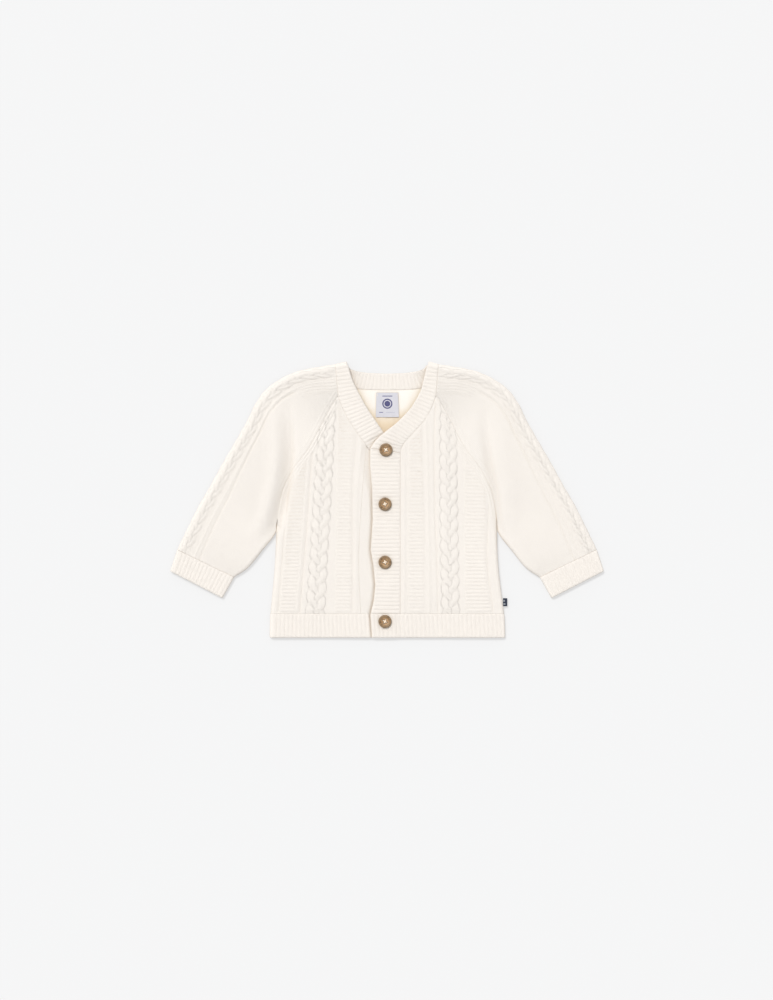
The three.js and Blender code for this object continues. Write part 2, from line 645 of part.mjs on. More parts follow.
const SLEEVE_START = 0.007; // of a table row, half the gap to the cuff
const SLEEVE_NECK_GAP = 0.2;
const SLEEVE_STEP = 0.62; // of a table row, from one plain sample to the next
const SLEEVE_INNER_STEP = 1.25;
const SLEEVE_OPENING = 0.7; // of a table row, over which the tube opens into the cap
const SLEEVE_GROOVE_FLANK = 1.4;
const SLEEVE_RIB_RISE = 0.5;
const SLEEVE_CABLE = { centre: 8, half: 5, lines: [0.7, 0.25, -0.25, -0.7], fadeIn: 0.3, fadeOut: 0.5 };
const lastRow = SLEEVE.length - 1;
const sleeveKeys = SLEEVE.map((row, k) => k);
const sleeveColumn = (column) => {
  const values = SLEEVE.map((row) => row[column]);
  return (u) => smooth(sleeveKeys, values, u);
};
const foldX = sleeveColumn('foldX');
const foldY = sleeveColumn('foldY');

// Stations along the sleeve at equal steps of length on its outer fold
function foldStations(step) {
  const fine = spread(0, lastRow, 0.02);
  const stations = [0];
  let run = 0;
  for (let k = 1; k < fine.length; k += 1) {
    run += hypot(foldX(fine[k]) - foldX(fine[k - 1]), foldY(fine[k]) - foldY(fine[k - 1]));
    if (run >= step) {
      stations.push(fine[k]);
      run -= step;
    }
  }
  if (lastRow - stations[stations.length - 1] < SLEEVE_STEP / 10) stations.pop();
  stations.push(lastRow);
  return stations;
}

function sleeve(side, frontSeam, backSeam) {
  const sign = sideSign[side];
  const stripWidth = sleeveColumn('strip');
  const heightAt = sleeveColumn('height');
  const knots = (tops) => tops
    .filter((point) => point.onRaglan && sign * point.x > 0)
    .map((point) => ({ ...point, x: sign * point.x }))
    .sort((a, b) => a.y - b.y);
  const layerOf = (way, y, seam) => {
    const [outer, inner] = [knots(seam.outerTops), knots(seam.innerTops)];
    return { way, y, outer, inner };
  };
  const front = layerOf(1, sleeveColumn('frontY'), frontSeam);
  const back = layerOf(-1, sleeveColumn('backY'), backSeam);
  const tubeX = sleeveColumn('edgeX');
  const edge = (layer, face, u) => {
    const y = layer.y(u);
    return { x: u <= UNDERARM_ROW ? tubeX(u) : along(layer[face], 'y', 'x', y), y };
  };
  const topOf = (u, x, y) => heightAt(u) - valleyDepth(sign * x, y);
  const start = SLEEVE_START;
  const sample = (u, x, y, z) => ({ v: u, x: sign * (x + (u === lastRow ? SLEEVE_NECK_GAP : 0)), y, z });

  // A point a given way from the open or seamed edge toward the fold
  const inFromEdge = (layer, face, u, distance) => {
    const from = edge(layer, face, u);
    const [dx, dy] = [foldX(u) - from.x, foldY(u) - from.y];
    const t = distance / hypot(dx, dy);
    return { x: from.x + dx * t, y: from.y + dy * t, reach: hypot(dx, dy) };
  };
  const sheet = { outer: [], inner: [] };
  const addLine = (stations, innerStations, place) => {
    for (const face of ['outer', 'inner']) {
      const us = face === 'outer' ? stations : innerStations;
      sheet[face].push({
        w: sheet[face].length,
        samples: us.map((u) => {
          const { x, y, z } = place(face, u);
          return sample(u, x, y, z);
        }),
      });
    }
  };
  const coarse = spread(start, lastRow, SLEEVE_STEP);
  const sparse = spread(start, lastRow, SLEEVE_INNER_STEP);
  const insideOf = (layer) => (layer.way > 0 ? coarse : sparse);
  const fine = foldStations(CABLE_CROSSING / 4).map((u) => max(u, start));
  const flatZ = (face, way, u, x, y, rise) => {
    if (way < 0) return face === 'outer' ? 0 : WALL;
    return face === 'outer' ? topOf(u, x, y) + rise : topOf(u, x, y) - WALL;
  };

  // The edge itself: seamed to the other edge as far as the underarm, then to the panels
  const addSeamEdge = (layer) => {
    for (const face of ['outer', 'inner']) {
      const tube = spread(start, UNDERARM_ROW, SLEEVE_STEP).map((u) => {
        const point = rollPoint(heightAt(u), 0, layer.way)[face];
        const at = inFromEdge(layer, face, u, point.inward);
        return sample(u, at.x, at.y, point.z);
      });
      const path = moveAside(layer[face], -SEAM_GAP / 2);
      const cap = path.map((point, k) => {
        const v = k === path.length - 1
          ? lastRow
          : crossing((u) => layer.y(u) - layer[face][k].y, UNDERARM_ROW, lastRow);
        return sample(v, point.x, point.y, point.z);
      });
      const joined = [...tube.slice(0, -1), ...cap];
      sheet[face].push({ w: sheet[face].length, samples: joined });
    }
  };
  const addEdgeRoll = (layer, degrees, capInward) => {
    addLine(coarse, sparse, (face, u) => {
      const opened = ease(UNDERARM_ROW, UNDERARM_ROW + SLEEVE_OPENING, u);
      const height = heightAt(u);
      const point = rollPoint(height, mix(degrees, 90, opened), layer.way)[face];
      const { reach } = inFromEdge(layer, face, u, 0);
      const at = inFromEdge(layer, face, u, mix(point.inward, capInward(u, reach), opened));
      const share = mix(sin(radians(degrees)), 1, opened);
      const sunk = layer.way > 0 ? valleyDepth(sign * at.x, at.y) * share : 0;
      return { ...at, z: point.z - sunk };
    });
  };
  const addFlat = (layer, distance, rise, stations, innerStations = insideOf(layer)) => {
    addLine(stations, innerStations, (face, u) => {
      const { reach } = inFromEdge(layer, face, u, 0);
      const at = inFromEdge(layer, face, u, distance(u, reach));
      return { ...at, z: flatZ(face, layer.way, u, at.x, at.y, rise(u)) };
    });
  };
  const addFoldRoll = (layer, degrees, stations) => {
    addLine(stations, sparse, (face, u) => {
      const point = rollPoint(heightAt(u), degrees, layer.way)[face];
      const { reach } = inFromEdge(layer, face, u, 0);
      const z = degrees === 0 ? heightAt(u) / 2 : point.z;
      return { ...inFromEdge(layer, face, u, reach - point.inward), z };
    });
  };

  const { centre, half, lines, fadeIn, fadeOut } = SLEEVE_CABLE;
  const nothing = () => 0;
  const cableEdge = centre + half;
  const stripEdge = (extra) => (u, reach) => reach - stripWidth(u) - extra;
  const fromFold = (distance) => (u, reach) => reach - distance;
  const runAt = new Map(fine.map((u, k) => [u, (k * CABLE_CROSSING) / 4]));
  const cableFade = (u) => clamp(u / fadeIn, 0, 1) * clamp((lastRow - u) / fadeOut, 0, 1);
  const plainWidth = (u, reach) => reach - stripWidth(u);
  const nearEdge = ({ inward, share }) => (u, reach) => min(inward, share * plainWidth(u, reach));
  const lastPlain = nearEdge(FRONT_PLAIN_LINES[FRONT_PLAIN_LINES.length - 1]);
  addSeamEdge(front);
  for (const row of FRONT_EDGE_LINES) addEdgeRoll(front, row.degrees, nearEdge(row));
  for (const row of FRONT_PLAIN_LINES) addFlat(front, nearEdge(row), nothing, coarse);
  addFlat(front, (u, reach) => mix(lastPlain(u, reach), plainWidth(u, reach), 0.5), nothing, coarse);
  addFlat(front, stripEdge(SLEEVE_GROOVE_FLANK), nothing, coarse);
  addFlat(front, stripEdge(0), () => -GROOVE_DEPTH, coarse);
  addFlat(front, (u, reach) => reach - mix(stripWidth(u), cableEdge, 0.45), () => SLEEVE_RIB_RISE, coarse);
  addFlat(front, fromFold(cableEdge), nothing, coarse);
  for (const across of lines) {
    const rise = (u) => (runAt.has(u) ? plait(across, runAt.get(u)) * cableFade(u) : 0);
    addFlat(front, fromFold(centre + half * across), rise, fine);
  }
  for (const degrees of [60, 30, 0]) addFoldRoll(front, degrees, coarse);
  for (const degrees of [30, 60]) addFoldRoll(back, degrees, coarse);
  addFoldRoll(back, 90, sparse);
  for (const share of BACK_PLAIN_SHARES) addFlat(back, (u, reach) => reach * share, nothing, sparse);
  for (const { degrees, inward, share } of BACK_EDGE_LINES) {
    addEdgeRoll(back, degrees, (u, reach) => min(inward, share * reach));
  }
  addSeamEdge(back);
  return wallGeometry(sheet.outer, sheet.inner);
}

// Neckband

function neckSections(rows, step) {
  const keys = rows.map((row, k) => k);
  const column = (name) => {
    const values = rows.map((row) => row[name]);
    return (u) => smooth(keys, values, u);
  };
  const [ix, iy, ox, oy] = [column('innerX'), column('innerY'), column('outerX'), column('outerY')];
  const at = (u) => ({ innerX: ix(u), innerY: iy(u), outerX: ox(u), outerY: oy(u) });
  const middle = (u) => [(ix(u) + ox(u)) / 2, (iy(u) + oy(u)) / 2];
  const us = spread(0, rows.length - 1, 0.01);
  let total = 0;
  const runs = us.map((u, k) => {
    if (k > 0) {
      const [a, b] = [middle(us[k - 1]), middle(u)];
      total += hypot(b[0] - a[0], b[1] - a[1]);
    }
    return total;
  });
  const count = round(total / step);
  return Array.from({ length: count + 1 }, (_, k) => {
    const run = (total * k) / count;
    const found = k === count ? us.length - 1 : runs.findIndex((value) => value >= run);
    return at(us[found]);
  });
}

const LAPPED_NECK_Y = 100; // below this the left neckband is lifted with the upper front
const NECK_LINES = [0, 0.09, 0.55, 1]; // across the neckband, from its free edge to its seam

function neckband(seams) {
  const step = BAND_RIB / 2;
  const foldAngles = [60, 30, 0, -30, -60];
  const peak = (side) => ({
    innerX: side === 'right' ? NECK_PEAK.innerRight : NECK_PEAK.innerLeft,
    innerY: NECK_PEAK.innerY,
    outerX: sideSign[side] * NECK_PEAK.outer,
    outerY: NECK_PEAK.outerY,
  });
  const backCorner = RAGLAN_BACK[RAGLAN_BACK.length - 1];
  const besideSleeve = (corner, y) => (
    mix(corner.x, NECK_PEAK.outer, (y - corner.y) / (NECK_PEAK.outerY - corner.y))
  );
  const frontStretch = (side) => {
    const knots = seams[side].outerTops.filter((p) => p.onNeck).sort((a, b) => a.y - b.y);
    return neckSections(NECK_ROWS[side], step).map((section) => {
      let { outerX } = section;
      if (section.outerY > RAGLAN_TOP.y) outerX = sideSign[side] * besideSleeve(RAGLAN_TOP, section.outerY);
      else if (section.outerY > knots[0].y) outerX = along(knots, 'y', 'x', section.outerY);
      return { ...section, outerX, part: side, angle: 90 };
    });
  };
  const fold = (side, angles) => angles.map((angle) => ({ ...peak(side), part: 'fold', side, angle }));
  const rolledOver = (section, inward) => {
    const corner = section.angle < 0 ? backCorner : RAGLAN_TOP;
    const outerY = section.outerY - inward;
    const outerX = sideSign[section.side] * besideSleeve(corner, outerY);
    return { ...section, innerY: section.innerY - inward, outerX, outerY };
  };
  const backHalf = (side) => {
    const sign = sideSign[side];
    const knots = seams.back.outerTops.filter((p) => p.onNeck).sort((a, b) => a.x - b.x);
    return neckSections(BACK_NECK, step).map((row) => {
      const besideBack = row.outerX < backCorner.x;
      const outerX = sign * (besideBack ? row.outerX : besideSleeve(backCorner, row.outerY));
      const outerY = besideBack ? along(knots, 'x', 'y', outerX) : row.outerY;
      return { innerX: sign * row.innerX, innerY: row.innerY, outerX, outerY, part: 'back', angle: -90 };
    });
  };
  const sections = [
    ...frontStretch('right'),
    ...fold('right', foldAngles),
    ...backHalf('right'),
    ...backHalf('left').reverse().slice(1),
    ...fold('left', [...foldAngles].reverse()),
    ...frontStretch('left').reverse(),
  ];
  const drawBack = SEAM_GAP / 2;
  const place = (section, across) => {
    const width = hypot(section.outerX - section.innerX, section.outerY - section.innerY);
    const t = across * (1 - drawBack / width);
    return { x: mix(section.innerX, section.outerX, t), y: mix(section.innerY, section.outerY, t) };
  };
  const lapChange = (part, x, y) => {
    if (part === 'right') return -lapDip(x, y);
    return part === 'left' && y < LAPPED_NECK_Y ? lapRise(x, y) : 0;
  };
  const shown = (part, x, y) => (part === 'right' ? clearOfLap(x, y) : 1);
  const rib = (k) => RIB_RISE * ridge(k, 1);
  const face = (which) => sections
    .map((section, k) => ({ section, k }))
    .filter(({ section, k }) => which === 'outer' || k % 4 === 0 || k === sections.length - 1
      || section.part === 'back' || section.part === 'fold')
    .map(({ section, k }) => {
      const places = which === 'outer' || section.part === 'back' ? NECK_LINES : [0, 1];
      return {
        w: k,
        samples: places.map((across) => {
          const edgeDrop = across === 0 ? EDGE_DROP : 0;
          if (section.part === 'fold') {
            const roll = rollPoint(LIE_HEIGHT, section.angle || 0.001, 1)[which];
            const lift = which === 'outer' ? rib(k) * max(0, sin(radians(section.angle))) : 0;
            return { v: across, ...place(rolledOver(section, roll.inward), across), z: roll.z + lift };
          }
          const { x, y } = place(section, across);
          if (section.part === 'back') {
            const lift = rib(k) - edgeDrop;
            return { v: across, x, y, z: which === 'outer' ? 0 : WALL + lift };
          }
          const top = topHeight(x, y) + lapChange(section.part, x, y);
          const lift = rib(k) * shown(section.part, x, y) - edgeDrop;
          return { v: across, x, y, z: which === 'outer' ? top + lift : top - WALL };
        }),
      };
    });
  return wallGeometry(face('outer'), face('inner'));
}

// Bands, hems
// A column is { x, rise, places, innerPlaces, bare }: bare columns carry the plain inner face too.

function columnWall(columns, bottom, topAt, heightAt) {
  const face = (which, list) => list.map((column) => {
    let top = topAt(column.x(bottom));
    for (let k = 0; k < 12; k += 1) top = topAt(column.x(top));
    const places = which === 'outer' ? column.places(bottom, top) : column.innerPlaces(bottom, top);
    return {
      w: column.w,
      samples: places.map((y) => {
        const x = column.x(y);
        const z = heightAt(x, y);
        return { v: y, x, y, z: which === 'outer' ? z + column.rise(y) : z - WALL };
      }),
    };
  });
  const numbered = columns.map((column, w) => ({ ...column, w }));
  return wallGeometry(face('outer', numbered), face('inner', numbered.filter((c) => c.bare)));
}

const bandPlaces = (bottom, top) => gridSpread(bottom, top, BAND_RIB / 2);
const bandRise = (y) => ridgeRise(y, BAND_RIB / 2, RIB_RISE);
const BAND_EDGE = 1.2; // from the free edge of the band to its full height
const BAND_SEAM_EDGE = 1;
const BAND_TOP_GAP = 0.5; // from the stand's upper end to the neckband

function buttonBand() {
  const seam = LEFT_COLUMNS.band.hem - SEAM_GAP / 2;
  const base = { places: plainPlaces, innerPlaces: plainPlaces };
  const ribbed = { places: bandPlaces, innerPlaces: plainPlaces, rise: bandRise };
  const columns = [
    { ...base, x: lapEdge, rise: () => -EDGE_DROP, bare: true },
    { ...ribbed, x: (y) => lapEdge(y) + BAND_EDGE },
    { ...ribbed, x: () => LAP_RISE_START, bare: true },
    { ...ribbed, x: () => (LAP_HIDDEN_END + LAP_RISE_END) / 2, bare: true },
    { ...ribbed, x: () => seam - BAND_SEAM_EDGE },
    { ...base, x: () => seam, rise: () => 0, bare: true },
  ];
  const [{ innerX, innerY, outerX, outerY }] = LEFT_NECK;
  const topAt = (x) => mix(innerY, outerY, (x - innerX) / (outerX - innerX)) - SEAM_GAP;
  return columnWall(columns, HEM_SEAM + SEAM_GAP / 2, topAt, (x, y) => bodyHeight(y) + lapRise(x, y));
}

// Lines of the stand on the slope beside the lap: shares of the slope back from the lap's edge,
// and the least share of the way from the seam to that edge
const STAND_LINES = [
  { slope: 0.8, way: 0.33 },
  { slope: 0.4, way: 0.66 },
];

function buttonStand() {
  const seamX = columnX(RIGHT_COLUMNS, 'band');
  const startX = (y) => seamX(y) + SEAM_GAP;
  const base = { places: plainPlaces, innerPlaces: plainPlaces, rise: () => 0, bare: true };
  const onSlope = ({ slope, way }) => ({
    ...base,
    x: (y) => Math.max(lapEdge(y) - slope * lapSlope(y), mix(startX(y), lapEdge(y), way)),
  });
  const columns = [
    { ...base, x: startX },
    ...STAND_LINES.map(onSlope),
    { ...base, x: lapEdge },
    { ...base, x: () => LAP_HIDDEN_END },
  ];
  const corner = RIGHT_NECK[0];
  const seamTop = smoothColumn([...RIGHT_NECK].slice(0, 3).reverse(), 'outerX', 'outerY');
  const topAt = (x) => (x < corner.outerX ? seamTop(x) : corner.outerY) - BAND_TOP_GAP;
  return columnWall(columns, HEM_SEAM + SEAM_GAP / 2, topAt, (x, y) => bodyHeight(y) - lapDip(x, y));
}

const HEM_SIDE = { right: -124, left: 125 };
const hemSide = (side) => {
  const { hem } = FRONT_COLUMNS[side].side;
  return (y) => mix(hem, HEM_SIDE[side], (HEM_SEAM - y) / (HALF_LENGTH + HEM_SEAM));
};
const HEM_EDGE_ROUND = 1.6; // above the lower edge, where the ribs have their full height
const hemPlaces = (bottom, top) => [bottom, bottom + HEM_EDGE_ROUND, top];
const hemInnerPlaces = (bottom, top) => [bottom, top];

function frontHem(side) {
  const sign = sideSign[side];
  const bottom = -HALF_LENGTH;
  const top = HEM_SEAM - SEAM_GAP / 2;
  const sideX = hemSide(side);
  const faces = { outer: [], inner: [] };
  const lapChange = (x, y) => (side === 'right' ? -lapDip(x, y) : lapRise(x, y));
  ROLL.forEach((degrees, w) => {
    for (const face of ['outer', 'inner']) {
      const samples = hemInnerPlaces(bottom, top).map((y) => {
        const point = rollPoint(bodyHeight(y), degrees, 1)[face];
        return { v: y, x: sideX(y) - sign * point.inward, y, z: point.z };
      });
      faces[face].push({ w, samples });
    }
  });
  const addColumn = (face, w, x, places, rise) => {
    const samples = places(bottom, top).map((y) => {
      const z = bodyHeight(y) + lapChange(x(y), y) + rise(y);
      return { v: y, x: x(y), y, z: face === 'outer' ? z : z - WALL };
    });
    faces[face].push({ w, samples });
  };
  const level = () => 0;
  const startX = (y) => sideX(y) - sign * (bodyHeight(y) / 2);
  const lastX = (y) => (side === 'right' ? lapEdge(y) - LAP_CLEAR : lapEdge(y));
  const count = 2 * round(abs(lastX(bottom) - startX(bottom)) / HEM_RIB);
  for (let k = 1; k <= count; k += 1) {
    const w = ROLL.length + k;
    const x = (y) => mix(startX(y), lastX(y), k / count);
    const rise = side === 'left' && k === count ? -EDGE_DROP : RIB_RISE * (k % 2);
    addColumn('outer', w, x, hemPlaces, (y) => (y === bottom ? rise - EDGE_DROP : rise));
    if (k % 4 === 0 || k === count) addColumn('inner', w, x, hemInnerPlaces, level);
  }
  if (side === 'right') {
    [(y) => lapEdge(y) + LAP_CLEAR, () => LAP_HIDDEN_END].forEach((x, k) => {
      for (const face of ['outer', 'inner']) {
        addColumn(face, ROLL.length + count + 1 + k, x, hemInnerPlaces, level);
      }
    });
  }
  return wallGeometry(faces.outer, faces.inner);
}

function backHem() {
  const bottom = -HALF_LENGTH;
  const top = HEM_SEAM - SEAM_GAP / 2;
  const faces = { outer: [], inner: [] };
  const half = (side, mirrored) => {
    const sign = sideSign[side];
    const sideX = hemSide(side);
    const columns = ROLL.map((degrees) => (face, y) => {
      const point = rollPoint(bodyHeight(y), degrees, -1)[face];
      return { x: sideX(y) - sign * point.inward, z: point.z };
    });
    for (const at of BACK_HEM_COLUMNS) {
      columns.push((face) => ({ x: sign * at, z: face === 'outer' ? 0 : WALL }));
    }
    if (!mirrored) columns.push((face) => ({ x: 0, z: face === 'outer' ? 0 : WALL }));
    return mirrored ? columns.reverse() : columns;
  };
  for (const column of [...half('right', false), ...half('left', true)]) {
    for (const face of ['outer', 'inner']) {
      const samples = hemInnerPlaces(bottom, top).map((y) => ({ v: y, y, ...column(face, y) }));
      faces[face].push({ w: faces[face].length, samples });
    }
  }
  return wallGeometry(faces.outer, faces.inner);
}

// Cuffs

const CUFF_LENGTH = 22;
const CUFF_EDGE_ROUND = 0.07; // of its length, from the open end to the ribs' full height

function cuff(side) {
  const sign = sideSign[side];
  const [first] = SLEEVE;
  const drawn = SEAM_GAP / 2 / CUFF_LENGTH;
  const heightAt = (v) => mix(CUFF_HEIGHT, first.height, v);
  const ends = (v) => ({
    edge: { x: mix(CUFF_END.edgeX, first.edgeX, v), y: mix(CUFF_END.edgeY, first.frontY, v) },
    fold: { x: mix(CUFF_END.foldX, first.foldX, v), y: mix(CUFF_END.foldY, first.foldY, v) },
  });
  const widthAt = (v) => {
    const { edge, fold } = ends(v);
    return hypot(fold.x - edge.x, fold.y - edge.y);
  };
  const place = (v, distance) => {
    const { edge, fold } = ends(v);
    const t = distance / widthAt(v);
    return { x: sign * mix(edge.x, fold.x, t), y: mix(edge.y, fold.y, t) };
  };
  const faces = { outer: [], inner: [] };
  let w = 0;
  const addLine = (at, vs, inner = true) => {
    w += 1;
    for (const face of inner ? ['outer', 'inner'] : ['outer']) {
      const used = face === 'outer' ? vs : [0, 1 - drawn];
      faces[face].push({ w, samples: used.map((v) => ({ v, ...at(face, v) })) });
    }
  };
  const plainVs = [0, 1 - drawn];
  const ribVs = [0, CUFF_EDGE_ROUND, 1 - drawn];
  const roll = (degrees, layer, fromFold) => addLine((face, v) => {
    const point = rollPoint(heightAt(v), degrees, layer)[face];
    const atFold = fromFold && degrees === 0;
    const distance = fromFold ? widthAt(v) - point.inward : point.inward;
    return { ...place(v, distance), z: atFold ? heightAt(v) / 2 : point.z };
  }, plainVs);
  for (const degrees of ROLL) roll(degrees, 1, false);
  const count = 2 * round((widthAt(0) - CUFF_HEIGHT) / CUFF_RIB);
  for (let k = 1; k < count; k += 1) {
    addLine((face, v) => {
      const height = heightAt(v);
      const distance = mix(height / 2, widthAt(v) - height / 2, k / count);
      const rise = RIB_RISE * (k % 2) - (v === 0 ? EDGE_DROP : 0);
      return { ...place(v, distance), z: face === 'outer' ? height + rise : height - WALL };
    }, ribVs, k % 4 === 0);
  }
  for (const degrees of [90, 60, 30, 0]) roll(degrees, 1, true);
  for (const degrees of [30, 60, 90]) roll(degrees, -1, true);
  for (const share of BACK_PLAIN_SHARES) {
    addLine((face, v) => ({ ...place(v, widthAt(v) * share), z: face === 'outer' ? 0 : WALL }), plainVs);
  }
  for (const degrees of [90, 60, 30, 0]) roll(degrees, -1, false);
  return wallGeometry(faces.outer, faces.inner);
}

// Trim

const wasm = await Module();
wasm.setup();

function solidOf(geometry) {
  const bare = geometry.clone();
  bare.deleteAttribute('normal');
  bare.deleteAttribute('uv');
  const merged = mergeVertices(bare, 1e-4);
  return new wasm.Manifold(new wasm.Mesh({
    numProp: 3,
    vertProperties: new Float32Array(merged.attributes.position.array),
    triVerts: new Uint32Array(merged.index.array),
  }));
}

function geometryOf(solid) {
  const mesh = solid.getMesh();
  const geometry = new THREE.BufferGeometry();
  geometry.setAttribute('position', new THREE.BufferAttribute(mesh.vertProperties, 3));
  geometry.setIndex(new THREE.BufferAttribute(mesh.triVerts, 1));
  return geometry;
}

// A rimmed button with a dished middle and four thread holes, its underside at z = 0
function buttonGeometry() {
  const { radius, height, rimWidth, dish, holeRadius, holeRing } = BUTTON;
  const profile = [
    [0, 0],
    [radius - 1.6, 0],
    [radius, 1.1],
    [radius - 0.3, height - 0.5],
    [radius - 0.9, height],
    [radius - rimWidth, height - 0.2],
    [radius - rimWidth - 0.9, height - dish],
    [0, height - dish - 0.1],
  ].map(([r, z]) => new THREE.Vector2(r, z));
  let body = solidOf(new THREE.LatheGeometry(profile, 24).rotateX(PI / 2));
  for (const turn of [0, 1, 2, 3]) {
    const hole = new THREE.CylinderGeometry(holeRadius, holeRadius, 3 * height, 8).rotateX(PI / 2);
    hole.translate(holeRing * cos((turn * PI) / 2 + PI / 4), holeRing * sin((turn * PI) / 2 + PI / 4), 0);
    body = body.subtract(solidOf(hole));
  }
  return geometryOf(body);
}

const extruded = (points, thickness) => {
  const shape = new THREE.Shape(points.map(([x, y]) => new THREE.Vector2(x, y)));
  return new THREE.ExtrudeGeometry(shape, { depth: thickness, bevelEnabled: false });
};

function labelGeometry() {
  const { topWidth, bottomWidth, top, bottom, thickness } = LABEL;
  const outline = [
    [-bottomWidth / 2, bottom],
    [bottomWidth / 2, bottom],
    [topWidth / 2, top],
    [-topWidth / 2, top],
  ];
  return extruded(outline, thickness);
}

// A short ribbon folded in two, its ends in the side seam
function tabGeometry(start) {
  const { width, reach, thickness } = TAB;
  const outline = [
    [start, 0],
    [reach - thickness / 2, 0],
    [reach, thickness * 0.3],
    [reach, thickness * 0.7],
    [reach - thickness / 2, thickness],
    [start, thickness],
  ];
  return extruded(outline, width).rotateX(PI / 2).translate(0, width / 2, 0);
}

// The garment

const knit = (color) => new THREE.MeshStandardMaterial({ color, roughness: 0.95, metalness: 0 });
const cream = knit(0xf7f0e9);
const creamBand = knit(0xf8f0e9);
const creamInside = knit(0xf6ede4);
const wood = new THREE.MeshStandardMaterial({ color: 0x9c7449, roughness: 0.5, metalness: 0 });
const satin = new THREE.MeshStandardMaterial({ color: 0xdcdde2, roughness: 0.6, metalness: 0 });
const navy = new THREE.MeshStandardMaterial({ color: 0x1c2233, roughness: 0.8, metalness: 0 });

const garment = new THREE.Group();
function addPiece(name, geometry, material, x = 0, y = 0, z = 0) {
  geometry.computeVertexNormals();
  const mesh = new THREE.Mesh(geometry, material.clone());
  mesh.name = name;
  mesh.position.set(x, y, z);
  garment.add(mesh);
}

const fronts = { right: frontPanel('right'), left: frontPanel('left') };
const back = backPanel();
addPiece('back', back.geometry, creamInside);
for (const side of ['right', 'left']) {
  addPiece(`front_${side}`, fronts[side].geometry, cream);
  addPiece(`sleeve_${side}`, sleeve(side, fronts[side], back), cream);
  addPiece(`cuff_${side}`, cuff(side), creamBand);
  addPiece(`hem_front_${side}`, frontHem(side), creamBand);
}
addPiece('hem_back', backHem(), creamBand);
addPiece('neckband', neckband({ ...fronts, back }), creamBand);
addPiece('button_band', buttonBand(), creamBand);
addPiece('button_stand', buttonStand(), creamBand);
for (const { name, x, y } of BUTTON_PLACES) {
  const seat = bodyHeight(y + BUTTON.radius) + lapLift(y) + RIB_RISE + SEAM_GAP;
  addPiece(name, buttonGeometry(), wood, x, y, seat);
}
addPiece('neck_label', labelGeometry(), satin, LABEL.x, 0, WALL + SEAM_GAP);
const tabStart = columnX(LEFT_COLUMNS, 'side')(TAB.y) + SEAM_GAP + 0.2;
addPiece('side_tab', tabGeometry(tabStart), navy, 0, TAB.y, bodyHeight(TAB.y) / 2 - TAB.thickness / 2);

export default garment;
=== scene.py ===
# A baby's knitted cardigan laid flat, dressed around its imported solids.
# Tables and lengths are in millimetres: x to the right as seen from above, y toward the neck,
# z up. "Right" and "left" in names are the wearer's, so the right front has negative x.

import bpy
import math
import numpy as np
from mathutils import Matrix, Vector


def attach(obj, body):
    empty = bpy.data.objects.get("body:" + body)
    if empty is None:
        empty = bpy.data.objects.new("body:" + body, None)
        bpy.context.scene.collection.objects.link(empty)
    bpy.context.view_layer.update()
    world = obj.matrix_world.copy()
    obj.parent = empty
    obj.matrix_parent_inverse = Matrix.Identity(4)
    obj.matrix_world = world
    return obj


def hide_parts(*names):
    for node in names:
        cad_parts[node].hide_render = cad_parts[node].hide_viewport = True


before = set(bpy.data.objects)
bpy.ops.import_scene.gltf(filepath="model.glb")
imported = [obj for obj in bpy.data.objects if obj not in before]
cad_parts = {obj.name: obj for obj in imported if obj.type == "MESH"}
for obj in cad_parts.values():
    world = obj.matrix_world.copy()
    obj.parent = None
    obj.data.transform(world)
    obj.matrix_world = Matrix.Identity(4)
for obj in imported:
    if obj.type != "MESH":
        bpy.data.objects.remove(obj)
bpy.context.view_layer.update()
MM = 0.001

# Driving sizes

WALL = 2.2
HALF = WALL / 2
LIE_HEIGHT = 8.0
HEM_HEIGHT = 6.0
CUFF_HEIGHT = 6.2
HALF_LENGTH = 146.3
HEM_SEAM = -120.8
FULL_HEIGHT_Y = -80.0
SEAM_GAP = 0.04
UNDERARM_Y = -33.4
RAGLAN_CORNER = (51.7, 109.7)
BACK_CORNER = (47.7, 123.0)

HEM_RIB = 4.4
BAND_RIB = 4.1
CUFF_RIB = 4.1
LADDER_RIDGE = 3.9
CABLE_CROSSING = 15.0
RIB_RISE = 0.45
LADDER_RISE = 0.5
CABLE_RISE = 0.85
GROOVE = 0.6
RAGLAN_RISE = 0.3
SHOULDER_LINES = (14.2, 31.7)
SHOULDER_LINE = 3.5

LAP_GAP = 0.3
LAP_DIP = 1.8
LAP_HIDDEN_END = 3.2
LAP_RISE_END = 13.8
LAP_SLOPE_LOW = 4.0
LAP_SLOPE_HIGH = 12.0

SIGN = {"right": -1, "left": 1}

# Tables

